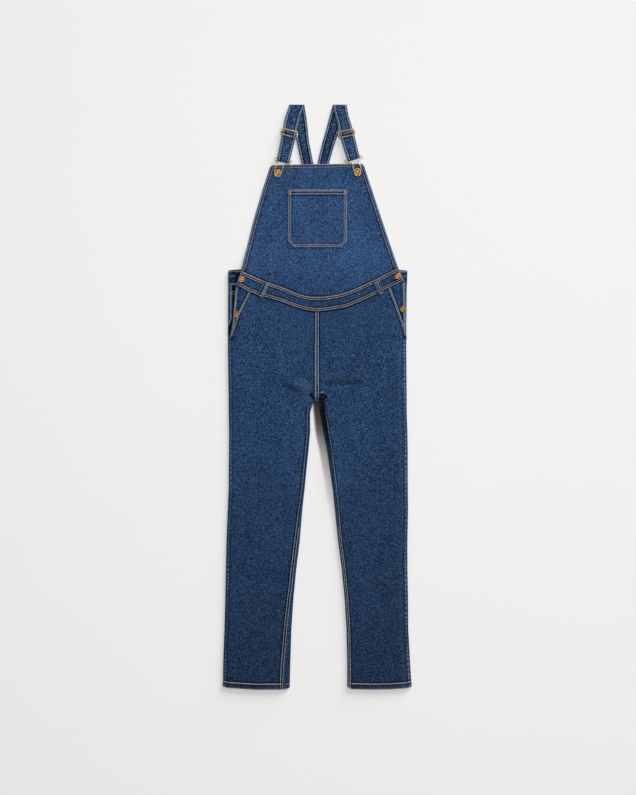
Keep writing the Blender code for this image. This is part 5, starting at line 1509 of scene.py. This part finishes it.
# Radius as a share of the cap's and height in mm over its base, from the middle to the rim
CAP = np.array([(0.0, 2.05), (0.1, 2.1), (0.26, 2.25), (0.42, 2.2), (0.54, 1.85), (0.62, 1.6),
                (0.68, 1.7), (0.76, 2.25), (0.84, 2.48), (0.91, 2.4), (0.97, 2.05), (1.0, 1.3),
                (0.98, 0.5), (0.92, 0.1), (0.8, 0.0)])


def button(node, look):
    """Cap and shank turned about the middle of the CAD node: a smooth curve through CAP,
    with 20 rays on the boss and 54 fine notches round the rim."""
    low, high = cad_box(node)
    centre, radius = (low + high) / 2, (high[0] - low[0]) / 2
    base, cap_base = low[2], high[2] - CAP[:, 1].max()
    profile = curve(CAP, 4)
    foot = base - cap_base
    shank = np.array([(SHANK / radius, 0.0), (SHANK / radius, foot), (0.02, foot)])
    profile = np.concatenate([[(0.004, CAP[0, 1])], profile[1:], shank])
    angle = np.arange(AROUND) * 2 * math.pi / AROUND
    r, h = profile[:, :1], profile[:, 1:]
    on_cap = (np.arange(len(profile)) < len(profile) - 3)[:, None]
    rays = 0.10 * np.cos(20 * angle) * bell(0.36, 0.13, r) * on_cap
    notches = 0.07 * np.cos(54 * angle) * bell(0.88, 0.06, r) * (h > 1.5) * on_cap
    z = cap_base + h + rays + notches
    points = np.stack([centre[0] + radius * r * np.cos(angle),
                       centre[1] + radius * r * np.sin(angle), z + 0 * angle], -1)
    index = np.arange(points.shape[0] * AROUND).reshape(-1, AROUND)
    faces = np.stack([index[:-1], index[1:], np.roll(index[1:], -1, 1),
                      np.roll(index[:-1], -1, 1)], -1).reshape(-1, 4)
    faces = np.concatenate([faces, pole(index[0]), pole(index[-1])[:, ::-1]])
    # Painted shade in the groove, between the rays and on the shank under the cap
    groove = (bell(0.64, 0.08, r) + 0.8 * (rays < 0.02) * bell(0.38, 0.14, r) + ~on_cap * 0.6)
    marks = {"groove": np.clip(groove + 0 * angle, 0, 1)}
    made = new_mesh(f"{node}_cap", points, faces, look, marks=marks)
    fit_brass(made, node)


for _, word in SIDES:
    button(f"bib_button_{word}", BUTTON_GOLD)
    button(f"waist_button_{word}", BUTTON_GOLD)
    button(f"placket_button_{word}", COPPER_GOLD)


# ==========================================================================================
# Floor, light and camera: a pale paper ground with a painted shadow between the legs, a broad low
# sun from the upper right, a square lamp overhead, a little fill and a camera looking straight
# down.
# ==========================================================================================
def ground(name, colour):
    """Matt paper, a little uneven in tone, with a painted shadow where little light gets in."""
    made, tree, shader = new_material(name)
    place = tree.node("TexCoord", out=3)
    shade = tree.node("Attribute", out=2, attribute_name="shade", attribute_type="GEOMETRY")
    low = tuple(c * 0.985 for c in colour[:3]) + (1,)
    toned = tree.mix(low, colour, place.noise((3, 3, 3), detail=3))
    shaded = shade.node("ValToRGB", {0: shade}, stops=(
        (0.0, (1, 1, 1)), (0.5, (0.54, 0.515, 0.495)), (1.0, (0.05, 0.038, 0.030))))
    toned = tree.node("VectorMath", {0: toned, 1: shaded}, operation="MULTIPLY")
    plug(tree, shader, Base_Color=toned)
    shader.inputs["Roughness"].default_value = 0.9
    shader.inputs["Specular IOR Level"].default_value = 0.1
    return made


FLOOR_HALF = 9000.0
FLOOR_Z = -0.45
# y, how dark the painted shadow on the floor between the legs is there, and how far from the right
# leg it is so dark
SLIT_SHADOW = np.array([(-420, 0.0, 10.0), (-368, 0.02, 12.0), (-317, 0.08, 15.0), (-266, 0.16, 17.0),
                 (-214, 0.28, 19.0), (-163, 0.48, 20.0), (-138, 0.60, 20.5), (-112, 0.74, 21.5),
                 (-86, 0.88, 21.0), (-61, 0.95, 19.0), (-30, 0.98, 17.0), (0, 1.0, 17.0)])
floor_x = np.concatenate([[-FLOOR_HALF, -300], steps(-100, 140, 2.0), [300, FLOOR_HALF]])
floor_y = np.concatenate([[-FLOOR_HALF, -800], steps(-450, 40, 5.0), [800, FLOOR_HALF]])
across, up = np.meshgrid(floor_x, floor_y)
clear = outline(1, up)[1] - across
# Painted shadow on the floor between the legs, beside the right leg's inner edge
slit_shadow = (along(SLIT_SHADOW, up) * (1 - smooth(-4, 4, clear - along(SLIT_SHADOW, up, 2)))
        * between(-420, 30, 5, up) * (across > -60) * (across < 100))
index = np.arange(across.size).reshape(across.shape)
squares = np.stack([index[:-1, :-1], index[:-1, 1:], index[1:, 1:], index[1:, :-1]], -1)
floor = new_mesh("floor", np.stack([across, up, np.full_like(up, FLOOR_Z)], -1),
                 squares.reshape(-1, 4), ground("paper", (0.90, 0.90, 0.895, 1)),
                 marks={"shade": slit_shadow})

world = bpy.data.worlds.new("studio")
world.use_nodes = True
world.node_tree.nodes["Background"].inputs["Color"].default_value = (0.97, 0.985, 1.0, 1)
world.node_tree.nodes["Background"].inputs["Strength"].default_value = 0.20
bpy.context.scene.world = world


def lamp(kind, place, strength, colour, **shape):
    """A lamp at a place in metres that looks at the garment's middle."""
    light = bpy.data.lights.new(f"{kind.lower()}_light", kind)
    light.energy, light.color = strength, colour
    for name, value in shape.items():
        setattr(light, name, value)
    made = bpy.data.objects.new(light.name, light)
    made.location = place
    reach = np.linalg.norm(place)
    made.rotation_euler = (math.acos(place[2] / reach), 0,
                           math.atan2(place[1], place[0]) + math.pi / 2)
    bpy.context.scene.collection.objects.link(made)


# The key rakes in from the upper right, 13 degrees over the floor; the other hangs overhead.
lamp("SUN", (1.7, 2.7, 0.74), 3.9, (1.0, 0.985, 0.965), angle=math.radians(30))
lamp("AREA", (0.9, 1.0, 5.6), 178, (1.0, 1.0, 1.0), shape="SQUARE", size=2.2)

camera = bpy.data.objects.new("camera", bpy.data.cameras.new("camera"))
camera.data.sensor_fit, camera.data.sensor_height, camera.data.lens = "VERTICAL", 36.0, 84.9
camera.data.clip_end = 60
camera.location = (0.0013, -0.0007, 4.8)
bpy.context.scene.collection.objects.link(camera)
bpy.context.scene.camera = camera
